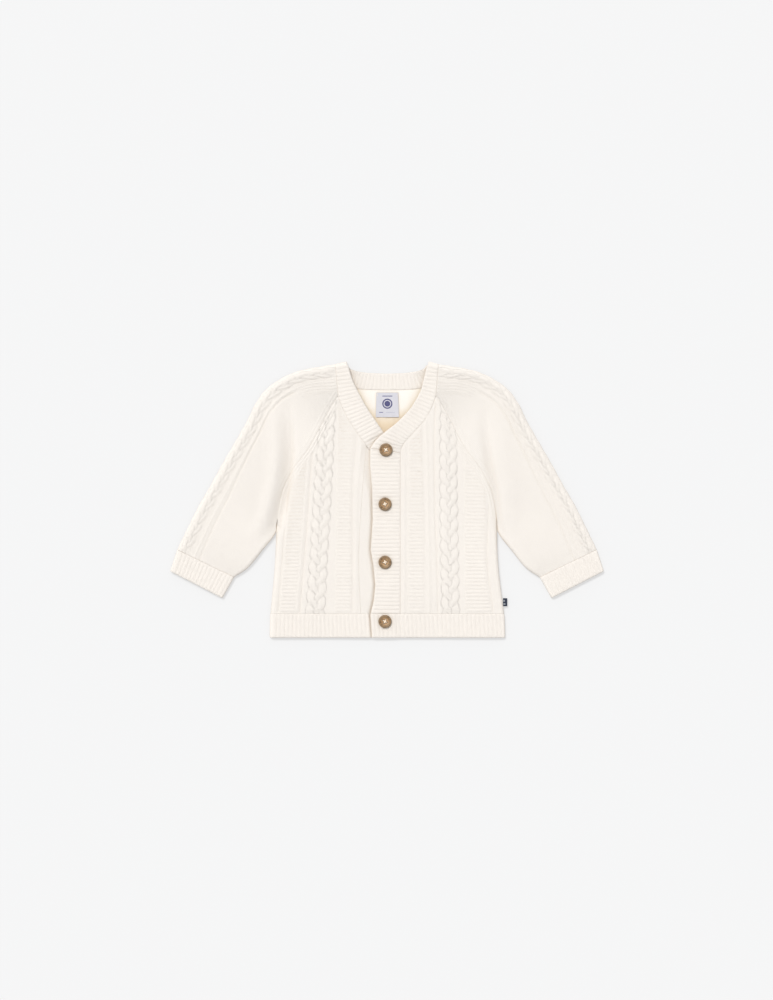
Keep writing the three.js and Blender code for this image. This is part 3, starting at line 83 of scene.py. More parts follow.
HEIGHTS = [HEM_SEAM, -64.1, -0.5, 63.1, 109.7]
COLUMNS = {
    "right": {
        "side": [-123.4, -118.5, -116.7, -116.1, -116.1],
        "side_groove": [-115.2, -110.6, -105.7, -101.8, -99.6],
        "outer_ladder_out": [-113.4, -108.8, -103.9, -99.6, -97.5],
        "outer_ladder_in": [-97.1, -92.7, -87.8, -83.1, -79.9],
        "rib": [-95.6, -91.2, -86.3, -81.6, -78.4],
        "cable_groove": [-92.2, -87.3, -82.4, -77.9, -74.2],
        "cable_out": [-86.9, -82.1, -78.4, -73.6, -69.9],
        "cable_in": [-65.2, -62.5, -58.8, -55.7, -53.4],
        "inner_ladder_out": [-54.6, -54.1, -53.5, -52.5, -51.7],
        "inner_ladder_in": [-37.8, -37.6, -37.9, -34.5, -31.8],
        "band_groove": [-36.3, -36.0, -36.3, -32.3, -28.6],
        "band_rib": [-32.0, -32.3, -31.6, -27.0, -22.3],
        "band": [-27.8, -29.9, -26.7, -21.2, -18.0],
    },
    "left": {
        "side": [124.0, 117.6, 116.3, 115.9, 115.5],
        "side_groove": [112.4, 106.0, 107.6, 107.1, 107.1],
        "outer_ladder_out": [110.2, 103.9, 104.9, 103.8, 102.8],
        "outer_ladder_in": [83.2, 82.7, 82.2, 81.6, 81.6],
        "cable_out": [77.0, 76.0, 74.9, 73.8, 73.8],
        "cable_in": [57.4, 56.4, 55.4, 55.4, 56.4],
        "cable_groove": [54.2, 52.8, 50.7, 50.1, 51.7],
        "rib": [45.1, 44.5, 43.5, 41.9, 40.8],
        "inner_ladder_out": [39.2, 39.2, 38.7, 37.1, 36.6],
        "inner_ladder_in": [22.6, 22.8, 22.8, 23.3, 24.4],
        "band_rib": [18.4, 18.4, 18.4, 18.7, 19.2],
        "band": [14.1, 14.1, 14.1, 14.1, 14.1],
    },
}

# x, y from the underarm to the neckband, for the left half
RAGLAN_FRONT = np.array([
    (117, -33.4), (115.5, -14.3), (112.9, 1.6), (109.2, 13.2), (98.6, 32.9),
    (82.7, 54.6), (70.5, 76.9), (61, 94.9), (51.7, 109.7),
])
RAGLAN_BACK = np.array([
    (117, -33.4), (112.4, -10.1), (106, 14.3), (95.4, 38.7),
    (80.6, 63.1), (66.8, 89.6), (55.1, 110.8), (47.7, 123),
])

# fold x, fold y, edge x, front y, back y, height, strip width, from cuff to neck
SLEEVE = np.array([
    (222.1, -53, 161.7, -82.2, -82.2, 6.6, 26),
    (210.7, -29.7, 146.8, -72.1, -72.1, 7.6, 25),
    (199.3, -6.9, 132, -54.1, -54.1, 8, 24),
    (187.1, 14.3, 117, -33.4, -33.4, 8, 23),
    (173.3, 39.2, 114.4, -10.1, -10.1, 8, 21.5),
    (160.6, 61, 109.7, 11.7, 14.3, 8, 20),
    (147.9, 83.2, 98.6, 32.9, 38.7, 8, 19),
    (138.3, 102.8, 82.7, 54.6, 63.1, 8, 18.5),
    (124, 119.8, 70.5, 76.9, 89.6, 8, 20),
    (96.5, 134.8, 61, 94.9, 110.8, 8, 22),
    (54.5, 143.3, 51.7, 109.7, 123, 8, 23),
])
UNDERARM_ROW = 3
LAST_ROW = 10
# fold x, fold y, edge x, edge y at the cuff's end
CUFF_END = (229.6, -75.8, 174.1, -104.4)

# inner x, inner y, outer x, outer y across the neckband
NECK = {
    "right": np.array([
        (2.7, 62, -17.7, 51.4), (-3.2, 70.7, -23.9, 59.4), (-9.5, 79.8, -30.7, 68.9),
        (-15.9, 89, -37.3, 79), (-22.3, 99.1, -44.4, 91), (-30.6, 114.4, -51.7, 109.7),
        (-36.6, 127.2, -53, 125.6), (-41.1, 142.3, -54.2, 139.3),
    ]),
    "left": np.array([
        (-17.7, 54.1, 14.1, 49.3), (-11.4, 63.1, 15.6, 55.4), (-2.1, 71.5, 19.6, 61.6),
        (9.5, 80.6, 26.9, 69.4), (19.1, 90.1, 36, 79.4), (26.7, 99.1, 44.2, 91),
        (35.2, 114.4, 51.7, 109.7), (38.8, 127.2, 53, 125.6), (42.6, 142.3, 54.2, 139.3),
    ]),
}
NECK_PEAK = {"right": (-42.2, 146.3, -54.5, 143.3), "left": (43.7, 146.3, 54.5, 143.3)}
BACK_NECK = np.array([
    (42, 142.3, 53.2, 139.3), (38.6, 138.5, 50.6, 131.8), (34.4, 136.7, 47.7, 123),
    (29.5, 135.5, 36.6, 118), (17.5, 134, 20.5, 116.2), (0, 133.3, 0, 115.8),
])

# x, y of the upper band's free edge
LAP_EDGE = np.array([
    (-15.7, -146.3), (-17.6, -122.4), (-14, -106.5), (-12.4, -90.6), (-14.5, -69.4),
    (-17.2, -53.5), (-15.2, -21.7), (-15.7, 10.1), (-18, 36.6), (-17.7, 54.1),
    (-11.4, 63.1), (-2.1, 71.5),
])

# The valley from each armpit up over the cap of the sleeve: how far it reaches into the sleeve
# and into the body, the fold of the sleeve that rises beside it, and its path as x, y, depth
VALLEYS = [
    {"side": -1, "sleeve_reach": 9.0, "body_reach": 5.0, "fold": 3.0, "path": np.array([
        (-104, 106, 0.3), (-103.4, 73.7, 2.2), (-102.2, 50, 3.2), (-102.6, 37, 3.5),
        (-105, 15.4, 3.6), (-111, -11, 3.6), (-116.6, -30.2, 2.8), (-131, -51, 0.2)])},
    {"side": 1, "sleeve_reach": 5.0, "body_reach": 6.5, "fold": 1.0, "path": np.array([
        (103.5, 96, 0.3), (104, 73.7, 1.5), (106.5, 53.8, 2.4), (108.5, 37, 2.9),
        (113.5, 14.1, 3.0), (116.5, -5.8, 2.8), (119, -29, 2.0), (128.3, -48.2, 0.2)])},
]
FOLD_PLACE = 16.0
FOLD_WIDTH = 7.5
FOLD_DEPTH = 3.6

BUTTONS = [("button_1", -1.1, 52.5), ("button_2", -2.1, -4.8),
           ("button_3", -2.1, -66.2), ("button_4", -2.1, -128.8)]

# Small helpers, all of them for arrays


def mix(a, b, t):
    return a + (b - a) * t


def ease(start, end, value):
    t = np.clip((value - start) / (end - start), 0, 1)
    return t * t * (3 - 2 * t)


def smooth(keys, values, at):
    """A smooth curve through the rows of a table."""
    keys, values = np.asarray(keys, float), np.asarray(values, float)
    at = np.asarray(at, float)
    last = len(keys) - 1
    low = np.maximum(np.arange(last + 1) - 1, 0)
    high = np.minimum(np.arange(last + 1) + 1, last)
    slopes = (values[high] - values[low]) / (keys[high] - keys[low])
    k = np.clip(np.searchsorted(keys, at, side="left") - 1, 0, last - 1)
    step = keys[k + 1] - keys[k]
    t = (at - keys[k]) / step
    t2, t3 = t * t, t * t * t
    return ((2 * t3 - 3 * t2 + 1) * values[k] + (t3 - 2 * t2 + t) * slopes[k] * step
            + (3 * t2 - 2 * t3) * values[k + 1] + (t3 - t2) * slopes[k + 1] * step)


def column(side, name):
    return lambda y: smooth(HEIGHTS, COLUMNS[side][name], y)


def raglan_x(y):
    return smooth(RAGLAN_FRONT[:, 1], RAGLAN_FRONT[:, 0], y)


def raglan_back_x(y):
    return smooth(RAGLAN_BACK[:, 1], RAGLAN_BACK[:, 0], y)


def distance_to(path, x, y):
    """The least distance from points to a path, and how far along the path that is, 0 to 1."""
    best = np.full(np.shape(x), 1e9)
    where = np.zeros(np.shape(x))
    for k in range(len(path) - 1):
        (ax, ay), (bx, by) = path[k][:2], path[k + 1][:2]
        dx, dy = bx - ax, by - ay
        t = np.clip(((x - ax) * dx + (y - ay) * dy) / (dx * dx + dy * dy), 0, 1)
        away = np.hypot(x - ax - dx * t, y - ay - dy * t)
        nearer = away < best
        best = np.where(nearer, away, best)
        where = np.where(nearer, (k + t) / (len(path) - 1), where)
    return best, where


def solve(rising, low, high):
    """Where a rising function of an array crosses zero."""
    low, high = low + 0.0, high + 0.0
    for _ in range(40):
        middle = (low + high) / 2
        above = rising(middle) > 0
        high = np.where(above, middle, high)
        low = np.where(above, low, middle)
    return low


def refined(length, step, ends=(True, True)):
    """Places from 0 to length, closer together near ends that are rounded."""
    inner = np.linspace(0, length, max(2, int(round(length / step)) + 1))
    near = [0.12, 0.35, 0.7, 1.1]
    extra = [place for place in near if ends[0]] + [length - place for place in near if ends[1]]
    keep = [p for p in inner if all(abs(p - e) > 0.3 * step for e in extra) or p in (0, length)]
    return np.array(sorted(set(list(keep) + extra)))


# Form of the cloth


def valley_depth(x, y):
    """Depth of the armpit valleys, negative on the fold beside one."""
    depth = np.zeros(np.shape(x))
    raised = np.zeros(np.shape(x))
    for valley in VALLEYS:
        path = valley["path"]
        away, where = distance_to(path, x, y)
        row = where * (len(path) - 1)
        deep = np.interp(row, np.arange(len(path)), path[:, 2])
        out = valley["side"] * (x - np.interp(row, np.arange(len(path)), path[:, 0])) > 0
        reach = np.where(out, valley["sleeve_reach"], valley["body_reach"])
        depth = np.maximum(depth, deep * np.exp(-(away / reach) ** 2))
        top = valley["fold"] * deep / FOLD_DEPTH * np.exp(-((away - FOLD_PLACE) / FOLD_WIDTH) ** 2)
        raised = np.maximum(raised, np.where(out, top, 0))
    return depth - raised


def body_height(y):
    return mix(HEM_HEIGHT, LIE_HEIGHT, ease(-HALF_LENGTH, FULL_HEIGHT_Y, y))


def lap_edge(y):
    return np.interp(y, LAP_EDGE[:, 1], LAP_EDGE[:, 0])


def lap_depth(y):
    return np.minimum(LAP_DIP, body_height(y) - 2 * WALL - LAP_GAP)


def lap_rise(x, y):
    lift = WALL + LAP_GAP - lap_depth(y)
    return lift * (1 - ease(LAP_HIDDEN_END + 0.8, LAP_RISE_END, x))


def lap_dip(x, y):
    """How far the lower front is pressed down: its slope is widest near the neck."""
    slope = mix(LAP_SLOPE_LOW, LAP_SLOPE_HIGH, ease(-5, 40, y))
    edge = lap_edge(y)
    return lap_depth(y) * ease(edge - slope, edge - 0.3, x)


def clear_of_lap(x, y):
    return np.where(y > 72, 1, np.clip((lap_edge(y) - 0.8 - x) / 1.5, 0, 1))


def soft_waves(x, y):
    """The slight unevenness of cloth that lies loose, in millimetres."""
    return (0.22 * np.sin(x / 17.0 + 1.3 + 0.6 * np.sin(y / 31.0))
            + 0.18 * np.sin(y / 23.0 + 0.7 * np.sin(x / 27.0 + 2.0))
            + 0.12 * np.sin((x + 1.4 * y) / 13.0 + 0.4))


def rib(away, width):
    """One raised rib, from the distance to its middle."""
    return np.exp(-(away / (0.5 * width)) ** 2)


def plait(across, run):
    """A three-strand plait: its height, and the sideways shift of the strand on top."""
    top = np.zeros(np.shape(across))
    shift = np.zeros(np.shape(across))
    for strand in range(3):
        turn = 2 * np.pi * (run / (3 * CABLE_CROSSING) + strand / 3)
        centre = 0.5 * np.sin(turn)
        reach = (across - centre) / 0.5
        inside = np.clip(1 - reach * reach, 0, 1) ** 0.85 * (0.72 + 0.28 * np.sin(2 * turn))
        shift = np.where(inside > top, centre, shift)
        top = np.maximum(top, inside)
    return CABLE_RISE * top, shift


# How a wall thins toward an edge: over what way, and to what share of its thickness
SEAMED = (0.7, 0.85)
FREE = (1.1, 0.12)
ROLLED = (0.9, 0.7)
RIB_POWER = 0.8


def edge_profile(distance, radius, least):
    """How much of its thickness the cloth has near an edge, 0 to 1."""
    t = np.clip(distance / radius, 0, 1)
    return least + (1 - least) * np.sqrt(np.clip(1 - (1 - t) ** 2, 0, 1))


# Shells


def normals_of(points):
    along = np.gradient(points, axis=0)
    across = np.gradient(points, axis=1)
    normal = np.cross(across, along)
    length = np.linalg.norm(normal, axis=2, keepdims=True)
    return normal / np.maximum(length, 1e-9)


def put_mesh(name, points, faces, uv, material):
    mesh = bpy.data.meshes.new(name)
    mesh.from_pydata((points * MM).tolist(), [], faces)
    layer = mesh.uv_layers.new(name="Cloth")
    corner = np.zeros(len(mesh.loops), dtype=np.int32)
    mesh.loops.foreach_get("vertex_index", corner)
    layer.data.foreach_set("uv", uv[corner].astype(np.float32).ravel())
    mesh.materials.append(material)
    mesh.shade_smooth()
    mesh.set_sharp_from_angle(angle=math.radians(62))
    obj = bpy.data.objects.new(name, mesh)
    bpy.context.scene.collection.objects.link(obj)
    return obj


def shell(name, middle, thickness, relief, uv, material, flip=False, under=None):
    """A sheet of cloth around its middle surface; relief is on the upper face, under on the other."""
    normal = normals_of(middle)
    if flip:
        normal = -normal
    lower = HALF * thickness + (0 if under is None else under)
    top = middle + normal * (HALF * thickness + relief)[..., None]
    bottom = middle - normal * lower[..., None]
    rows, cols = middle.shape[:2]
    points = np.concatenate([top.reshape(-1, 3), bottom.reshape(-1, 3)])
    index = np.arange(rows * cols).reshape(rows, cols)
    count = rows * cols

    def quads(a, b, c, d):
        return np.stack([a, b, c, d], axis=-1).reshape(-1, 4)

    upper = quads(index[:-1, :-1], index[:-1, 1:], index[1:, 1:], index[1:, :-1])
    under_face = upper[:, ::-1] + count
    rims = []
    for line in (index[0, :], index[:, -1], index[-1, ::-1], index[::-1, 0]):
        rims.append(quads(line[1:], line[:-1], line[:-1] + count, line[1:] + count))
    faces = np.concatenate([upper, under_face] + rims)
    corners = points[faces]
    cross = np.cross(corners[:, 1] - corners[:, 0], corners[:, 2] - corners[:, 0])
    cross += np.cross(corners[:, 2] - corners[:, 0], corners[:, 3] - corners[:, 0])
    if np.sum(corners[:, 0] * cross) < 0:
        faces = faces[:, ::-1]
    both = np.concatenate([uv.reshape(-1, 2), uv.reshape(-1, 2)])
    return put_mesh(name, points, faces.tolist(), both, material)

# Materials


class Shader:
    """A material's node tree, with short calls for its nodes."""

    def __init__(self, name, roughness, sheen=0.0):
        self.material = bpy.data.materials.new(name)
        self.material.use_nodes = True
        self.tree = self.material.node_tree
        self.main = self.tree.nodes["Principled BSDF"]
        self.main.inputs["Roughness"].default_value = roughness
        self.main.inputs["Specular IOR Level"].default_value = 0.3
        if sheen:
            self.main.inputs["Sheen Weight"].default_value = sheen
            self.main.inputs["Sheen Roughness"].default_value = 0.5

    def link(self, value, socket):
        if isinstance(value, (int, float)):
            socket.default_value = value
        elif isinstance(value, tuple):
            socket.default_value = value
        else:
            self.tree.links.new(value, socket)

    def math(self, operation, a, b=0.0, clamp=False):
        node = self.tree.nodes.new("ShaderNodeMath")
        node.operation = operation
        node.use_clamp = clamp
        self.link(a, node.inputs[0])
        self.link(b, node.inputs[1])
        return node.outputs[0]

    def cloth_place(self):
        node = self.tree.nodes.new("ShaderNodeUVMap")
        node.uv_map = "Cloth"
        split = self.tree.nodes.new("ShaderNodeSeparateXYZ")
        self.tree.links.new(node.outputs[0], split.inputs[0])
        return split.outputs[0], split.outputs[1]

    def object_place(self):
        node = self.tree.nodes.new("ShaderNodeTexCoord")
        return node.outputs["Object"]

    def noise(self, scale, detail=2.0, place=None, roughness=0.5):
        node = self.tree.nodes.new("ShaderNodeTexNoise")
        node.inputs["Scale"].default_value = scale
        node.inputs["Detail"].default_value = detail
        node.inputs["Roughness"].default_value = roughness
        self.tree.links.new(place or self.object_place(), node.inputs["Vector"])
        return node.outputs["Fac"]

    def blend(self, factor, a, b):
        node = self.tree.nodes.new("ShaderNodeMix")
        node.data_type = "RGBA"
        self.link(factor, node.inputs[0])
        self.link(a, node.inputs[6])
        self.link(b, node.inputs[7])
        return node.outputs[2]

    def in_the_open(self, distance):
        """1 on open cloth, less in folds and under edges."""
        node = self.tree.nodes.new("ShaderNodeAmbientOcclusion")
        node.samples = 6
        node.inputs["Distance"].default_value = distance
        return node.outputs["AO"]

    def bump(self, height, distance, strength=1.0, base=None):
        node = self.tree.nodes.new("ShaderNodeBump")
        node.inputs["Strength"].default_value = strength
        node.inputs["Distance"].default_value = distance
        self.tree.links.new(height, node.inputs["Height"])
        if base is not None:
            self.tree.links.new(base, node.inputs["Normal"])
        return node.outputs[0]

    def finish(self, color, normal=None):
        self.link(color, self.main.inputs["Base Color"])
        if normal is not None:
            self.tree.links.new(normal, self.main.inputs["Normal"])
        return self.material


def knit_height(shader, wale, course, slant=0.55):
    """The height of stocking stitch, 0 to 1: slanted legs of yarn that meet in V shapes."""
    u, v = shader.cloth_place()
    wobble = shader.noise(900.0, 1.0)
    u = shader.math("ADD", u, shader.math("MULTIPLY", shader.math("SUBTRACT", wobble, 0.5), 0.35))
    s = shader.math("FRACT", shader.math("DIVIDE", u, wale))
    out = shader.math("MULTIPLY", shader.math("ABSOLUTE", shader.math("SUBTRACT", s, 0.5)), 2.0)
    phase = shader.math("SUBTRACT", shader.math("DIVIDE", v, course), shader.math("MULTIPLY", out, slant))
    leg = shader.math("SINE", shader.math("MULTIPLY", shader.math("FRACT", phase), math.pi))
    side = shader.math("SINE", shader.math("MULTIPLY", out, math.pi))
    leg = shader.math("POWER", shader.math("MAXIMUM", leg, 0.0), 0.6)
    side = shader.math("POWER", shader.math("MAXIMUM", side, 0.0), 0.5)
    return shader.math("MULTIPLY", leg, side)


def knit_material(name, color, wale, course, depth, shade, fold, v_point_shade=None):
    """Knit with painted shade: its colour darkens in folds and under edges by ambient occlusion; fold is
    how far that painted shade reaches, in metres, and how fast it deepens.
    """
    shader = Shader(name, 0.92, sheen=0.12)
    height = knit_height(shader, wale, course)
    fuzz = shader.noise(2600.0, 2.0)
    both = shader.math("ADD", height, shader.math("MULTIPLY", fuzz, 0.35))
    # Painted shade in the stitches: the colour darkens where the stitch height is low.
    hollow = tuple(c * f for c, f in zip(color, (0.90, 0.875, 0.85))) + (1.0,)
    cloud = shader.noise(28.0, 3.0)
    full = shader.blend(cloud, tuple(c * 0.975 for c in color) + (1.0,),
                        tuple(min(c * 1.02, 1.0) for c in color) + (1.0,))
    tint = shader.blend(shader.math("POWER", height, 0.5), hollow, full)
    # Painted shade: toward this darker copy of the colour where ambient occlusion finds folds, creases and
    # edges close by.
    deep = tuple(c * f for c, f in zip(color, shade)) + (1.0,)
    tint = shader.blend(shader.math("POWER", shader.in_the_open(fold[0]), fold[1]), deep, tint)
    # Painted shade: the inside darkens and warms toward the point of the V, by height alone.
    if v_point_shade:
        split = shader.tree.nodes.new("ShaderNodeSeparateXYZ")
        shader.tree.links.new(shader.object_place(), split.inputs[0])
        above = shader.math("SUBTRACT", split.outputs[1], V_POINT_LOW)
        near = shader.math("SUBTRACT", 1.0, shader.math("DIVIDE", above, V_POINT_REACH), clamp=True)
        v_point_shade_color = tuple(c * f for c, f in zip(color, v_point_shade)) + (1.0,)
        tint = shader.blend(near, tint, v_point_shade_color)
    return shader.finish(tint, shader.bump(both, depth))


# Painted shade on the inside, darkest at the point of the V, from this height up, in metres
V_POINT_LOW = 0.078
V_POINT_REACH = 0.019

CREAM = (0.842, 0.800, 0.750)
CREAM_BAND = (0.848, 0.802, 0.750)
# The inside is the same yarn painted lighter, to balance the heavier painted shade it takes.
CREAM_INSIDE = (0.900, 0.862, 0.815)
# The share of the colour left as painted shade where the cloth is fully enclosed.
SHADE = (0.80, 0.72, 0.62)
knit = knit_material("cream_knit", CREAM, 1.55, 1.2, 0.00028, SHADE, (0.014, 1.7))
rib_knit = knit_material("cream_rib", CREAM_BAND, 1.37, 1.15, 0.00026, SHADE, (0.014, 1.0))
inside_knit = knit_material("cream_inside", CREAM_INSIDE, 1.55, 1.2, 0.0002,
                            (0.78, 0.69, 0.53), (0.03, 1.7), v_point_shade=(0.84, 0.72, 0.55))


def thread_material():
    shader = Shader("cream_thread", 0.75, sheen=0.2)
    twist = shader.noise(5200.0, 1.0)
    tint = shader.blend(twist, (0.88, 0.75, 0.58, 1.0), (0.95, 0.86, 0.73, 1.0))
    return shader.finish(tint, shader.bump(twist, 0.0001))


def button_material():
    shader = Shader("brown_button", 0.42)
    place = shader.object_place()
    split = shader.tree.nodes.new("ShaderNodeSeparateXYZ")
    shader.tree.links.new(place, split.inputs[0])
    x, y = split.outputs[0], split.outputs[1]
    squares = shader.math("ADD", shader.math("MULTIPLY", x, x), shader.math("MULTIPLY", y, y))
    away = shader.math("DIVIDE", shader.math("SQRT", squares), 6.9 * MM)
    stretch = shader.tree.nodes.new("ShaderNodeMapping")
    stretch.inputs["Scale"].default_value = (180.0, 1100.0, 300.0)
    shader.tree.links.new(place, stretch.inputs["Vector"])
    grain = shader.noise(1.0, 4.0, stretch.outputs[0], 0.6)
    mottle = shader.noise(300.0, 3.0)
    rim = shader.math("MULTIPLY", shader.math("SUBTRACT", away, 0.5), 5.5, clamp=True)
    grain = shader.math("MULTIPLY", shader.math("SUBTRACT", grain, 0.34), 3.2, clamp=True)
    mottle = shader.math("MULTIPLY", shader.math("SUBTRACT", mottle, 0.36), 3.4, clamp=True)
    dish = shader.blend(grain, (0.21, 0.110, 0.046, 1.0), (0.48, 0.29, 0.145, 1.0))
    edge = shader.blend(grain, (0.075, 0.047, 0.022, 1.0), (0.25, 0.160, 0.085, 1.0))
    tint = shader.blend(rim, dish, edge)
    tint = shader.blend(shader.math("MULTIPLY", mottle, 0.5), tint, (0.36, 0.24, 0.135, 1.0))
    return shader.finish(tint, shader.bump(grain, 0.00012, 0.6))


def inside_box(shader, u, v, left, right, low, high):
    parts = [shader.math("GREATER_THAN", u, left), shader.math("LESS_THAN", u, right),
             shader.math("GREATER_THAN", v, low), shader.math("LESS_THAN", v, high)]
    result = parts[0]
    for part in parts[1:]:
        result = shader.math("MULTIPLY", result, part)
    return result


def label_material():
    """Satin ribbon with plain generic marks: a short bar, a disc, and fine lines."""
    shader = Shader("label_satin", 0.5, sheen=0.2)
    u, v = shader.cloth_place()
    weave = shader.math("SINE", shader.math("MULTIPLY", v, 2 * math.pi / 0.35))
    ground = shader.blend(shader.noise(160.0, 2.0), (0.59, 0.585, 0.63, 1.0), (0.67, 0.66, 0.70, 1.0))
    up = shader.math("SUBTRACT", v, 1.2)
    round_off = shader.math("ADD", shader.math("MULTIPLY", u, u), shader.math("MULTIPLY", up, up))
    disc = shader.math("LESS_THAN", round_off, 5.4 ** 2)
    hollow = shader.math("LESS_THAN", round_off, 4.0 ** 2)
    core = shader.math("LESS_THAN", round_off, 3.1 ** 2)
    ring = shader.math("ADD", shader.math("SUBTRACT", disc, hollow), core)
    dashes = shader.math("GREATER_THAN", shader.math("FRACT", shader.math("DIVIDE", u, 1.3)), 0.25)
    bar = shader.math("MULTIPLY", inside_box(shader, u, v, -5.4, 5.4, 8.6, 9.9), dashes)
    foot = inside_box(shader, u, v, -8.6, -4.6, -8.4, -7.6)
    fine = shader.math("MULTIPLY", inside_box(shader, u, v, -1.5, 8.0, -8.3, -7.7), dashes)
    tint = shader.blend(shader.math("MULTIPLY", ring, 0.93), ground, (0.045, 0.045, 0.16, 1.0))
    tint = shader.blend(shader.math("MULTIPLY", bar, 0.9), tint, (0.10, 0.10, 0.24, 1.0))
    tint = shader.blend(shader.math("MULTIPLY", foot, 0.9), tint, (0.10, 0.10, 0.24, 1.0))
    tint = shader.blend(shader.math("MULTIPLY", fine, 0.6), tint, (0.30, 0.30, 0.42, 1.0))
    return shader.finish(tint, shader.bump(weave, 0.00005))


def tab_material():
    """Navy ribbon with a pale plain bar."""
    shader = Shader("tab_navy", 0.7, sheen=0.1)
    u, v = shader.cloth_place()
    weave = shader.math("SINE", shader.math("MULTIPLY", shader.math("ADD", u, v), 2 * math.pi / 0.5))
    ground = shader.blend(shader.noise(700.0, 2.0), (0.012, 0.018, 0.035, 1.0), (0.03, 0.04, 0.07, 1.0))
    bar = inside_box(shader, u, v, 0.2, 2.6, -2.6, -1.2)
    second = inside_box(shader, u, v, 0.2, 2.0, 0.6, 2.4)
    marks = shader.math("MULTIPLY", shader.math("MAXIMUM", bar, second), 0.55)
    tint = shader.blend(marks, ground, (0.55, 0.58, 0.62, 1.0))
    return shader.finish(tint, shader.bump(weave, 0.00008))


thread = thread_material()
wood = button_material()
label_satin = label_material()
tab_navy = tab_material()

# Cloth that lies in two layers


def rolled(height, arc):
    """The upper layer's middle surface beside a side seam: angle, way inward and height."""
    radius = height / 2
    small = radius - HALF
    bend = np.pi * small / 2
    angle = np.clip(arc / small, 0, np.pi / 2)
    inward = radius - small * np.cos(angle) + np.maximum(arc - bend, 0)
    return angle, inward, radius + small * np.sin(angle)


def smooth_path(make, low, high, count=60):
    at = np.linspace(low, high, count)
    return np.stack([make(at), at], axis=1)


RAGLAN_PATH = smooth_path(raglan_x, UNDERARM_Y, RAGLAN_CORNER[1])


def neck_outer_x(side):
    rows = NECK[side]
    return lambda y: smooth(rows[:, 3], rows[:, 2], y)


def window(x, a, b, soft=1.0):
    """1 between two columns and 0 outside, whichever way round they are."""
    low, high = np.minimum(a, b), np.maximum(a, b)
    return ease(-0.2, soft, x - low) * ease(-0.2, soft, high - x)


def ladder(side, x, y, outer, inner, columns):
    a, b = column(side, outer)(y), column(side, inner)(y)
    rows = np.abs(np.cos(np.pi * y / LADDER_RIDGE)) ** RIB_POWER
    share = (x - a) / (b - a) * columns
    parts = 0.72 + 0.28 * np.abs(np.sin(np.pi * share)) ** 0.35
    return LADDER_RISE * window(x, a, b) * rows * parts


def column_rib(side, x, y, name, width, rise):
    return rise * rib(x - column(side, name)(y), width)


def cable(side, x, y):
    a, b = column(side, "cable_out")(y), column(side, "cable_in")(y)
    across = 2 * (x - a) / (b - a) - 1
    rise, shift = plait(np.clip(across, -1.2, 1.2), y)
    return rise, shift * (b - a) / 2


def front(side):
    sign = SIGN[side]
    edge, band = column(side, "side"), column(side, "band")
    bottom = HEM_SEAM + SEAM_GAP / 2
    neck_x = neck_outer_x(side)
    neck_low = NECK[side][0, 3]

    def place(share, y):
        height = body_height(y)
        small = height / 2 - HALF
        length = np.pi * small / 2 + np.abs(band(y) - edge(y)) - height / 2
        arc = share * length
        angle, inward, z = rolled(height, arc)
        return arc, length, angle, edge(y) - sign * inward, z

    reach = float(place(1.0, np.array(-64.1))[1])
    shares = refined(reach, 0.95) / reach
    corner_x, corner_y = RAGLAN_CORNER
    at_corner = sign * place(shares, np.full(shares.shape, corner_y))[3]
    low = np.full(shares.shape, UNDERARM_Y)
    high = np.full(shares.shape, corner_y)
    on_raglan = solve(lambda y: sign * place(shares, y)[3] - raglan_x(y), low, high)
    low = np.full(shares.shape, float(neck_low))
    on_neck = solve(lambda y: sign * neck_x(y) - sign * place(shares, y)[3], low, high)
    tops = np.where(at_corner > corner_x, on_raglan, on_neck) - SEAM_GAP / 2
    rows = refined(230.0, 0.95) / 230.0
    y = bottom + (tops[None, :] - bottom) * rows[:, None]
    arc, length, angle, x, z = place(shares[None, :], y)
    settled = np.sin(angle)
    z = z + settled * (soft_waves(x, y) - valley_depth(x, y)) - (lap_dip(x, y) if side == "right" else 0)
    middle = np.stack([x, y, z], axis=-1)

    to_raglan, _ = distance_to(RAGLAN_PATH, sign * x, y)
    neck_path = smooth_path(neck_x, neck_low, corner_y, 40)
    to_neck, _ = distance_to(neck_path, x, y)
    to_hem = y - bottom
    thick = np.minimum.reduce([
        edge_profile(arc, *ROLLED), edge_profile(length - arc, *SEAMED),
        edge_profile(to_raglan, *SEAMED), edge_profile(to_neck, *SEAMED),
        edge_profile(to_hem, *SEAMED),
    ])
    low_relief = ease(5.6, 7.2, to_raglan) * ease(0.8, 2.6, to_neck) * ease(0.4, 2.0, to_hem)
    relief = ladder(side, x, y, "outer_ladder_out", "outer_ladder_in", 2 if side == "right" else 3)
    relief += ladder(side, x, y, "inner_ladder_out", "inner_ladder_in", 2)
    rise, shift = cable(side, x, y)
    relief += rise * ease(0.5, 6, to_hem) * ease(6, 12, to_raglan)
    relief += column_rib(side, x, y, "rib", 2.6, RIB_RISE)
    relief -= column_rib(side, x, y, "cable_groove", 1.8, GROOVE)
    relief -= column_rib(side, x, y, "side_groove", 1.5, GROOVE)
    relief += column_rib(side, x, y, "band_rib", 2.6, RIB_RISE)
    if side == "right":
        relief -= column_rib(side, x, y, "band_groove", 1.5, 0.4)
    relief *= low_relief
    beside_raglan = ease(0.6, 1.8, to_neck) * ease(-25, -8, y)
    relief += RAGLAN_RISE * (rib(to_raglan - 2.0, 1.7) + rib(to_raglan - 4.8, 1.7)) * beside_raglan
    relief = relief * thick * settled
    uv = np.stack([x - shift, y], axis=-1)
    return shell("front_" + side + "_cloth", middle, thick, relief, uv, knit, flip=(side == "left"))


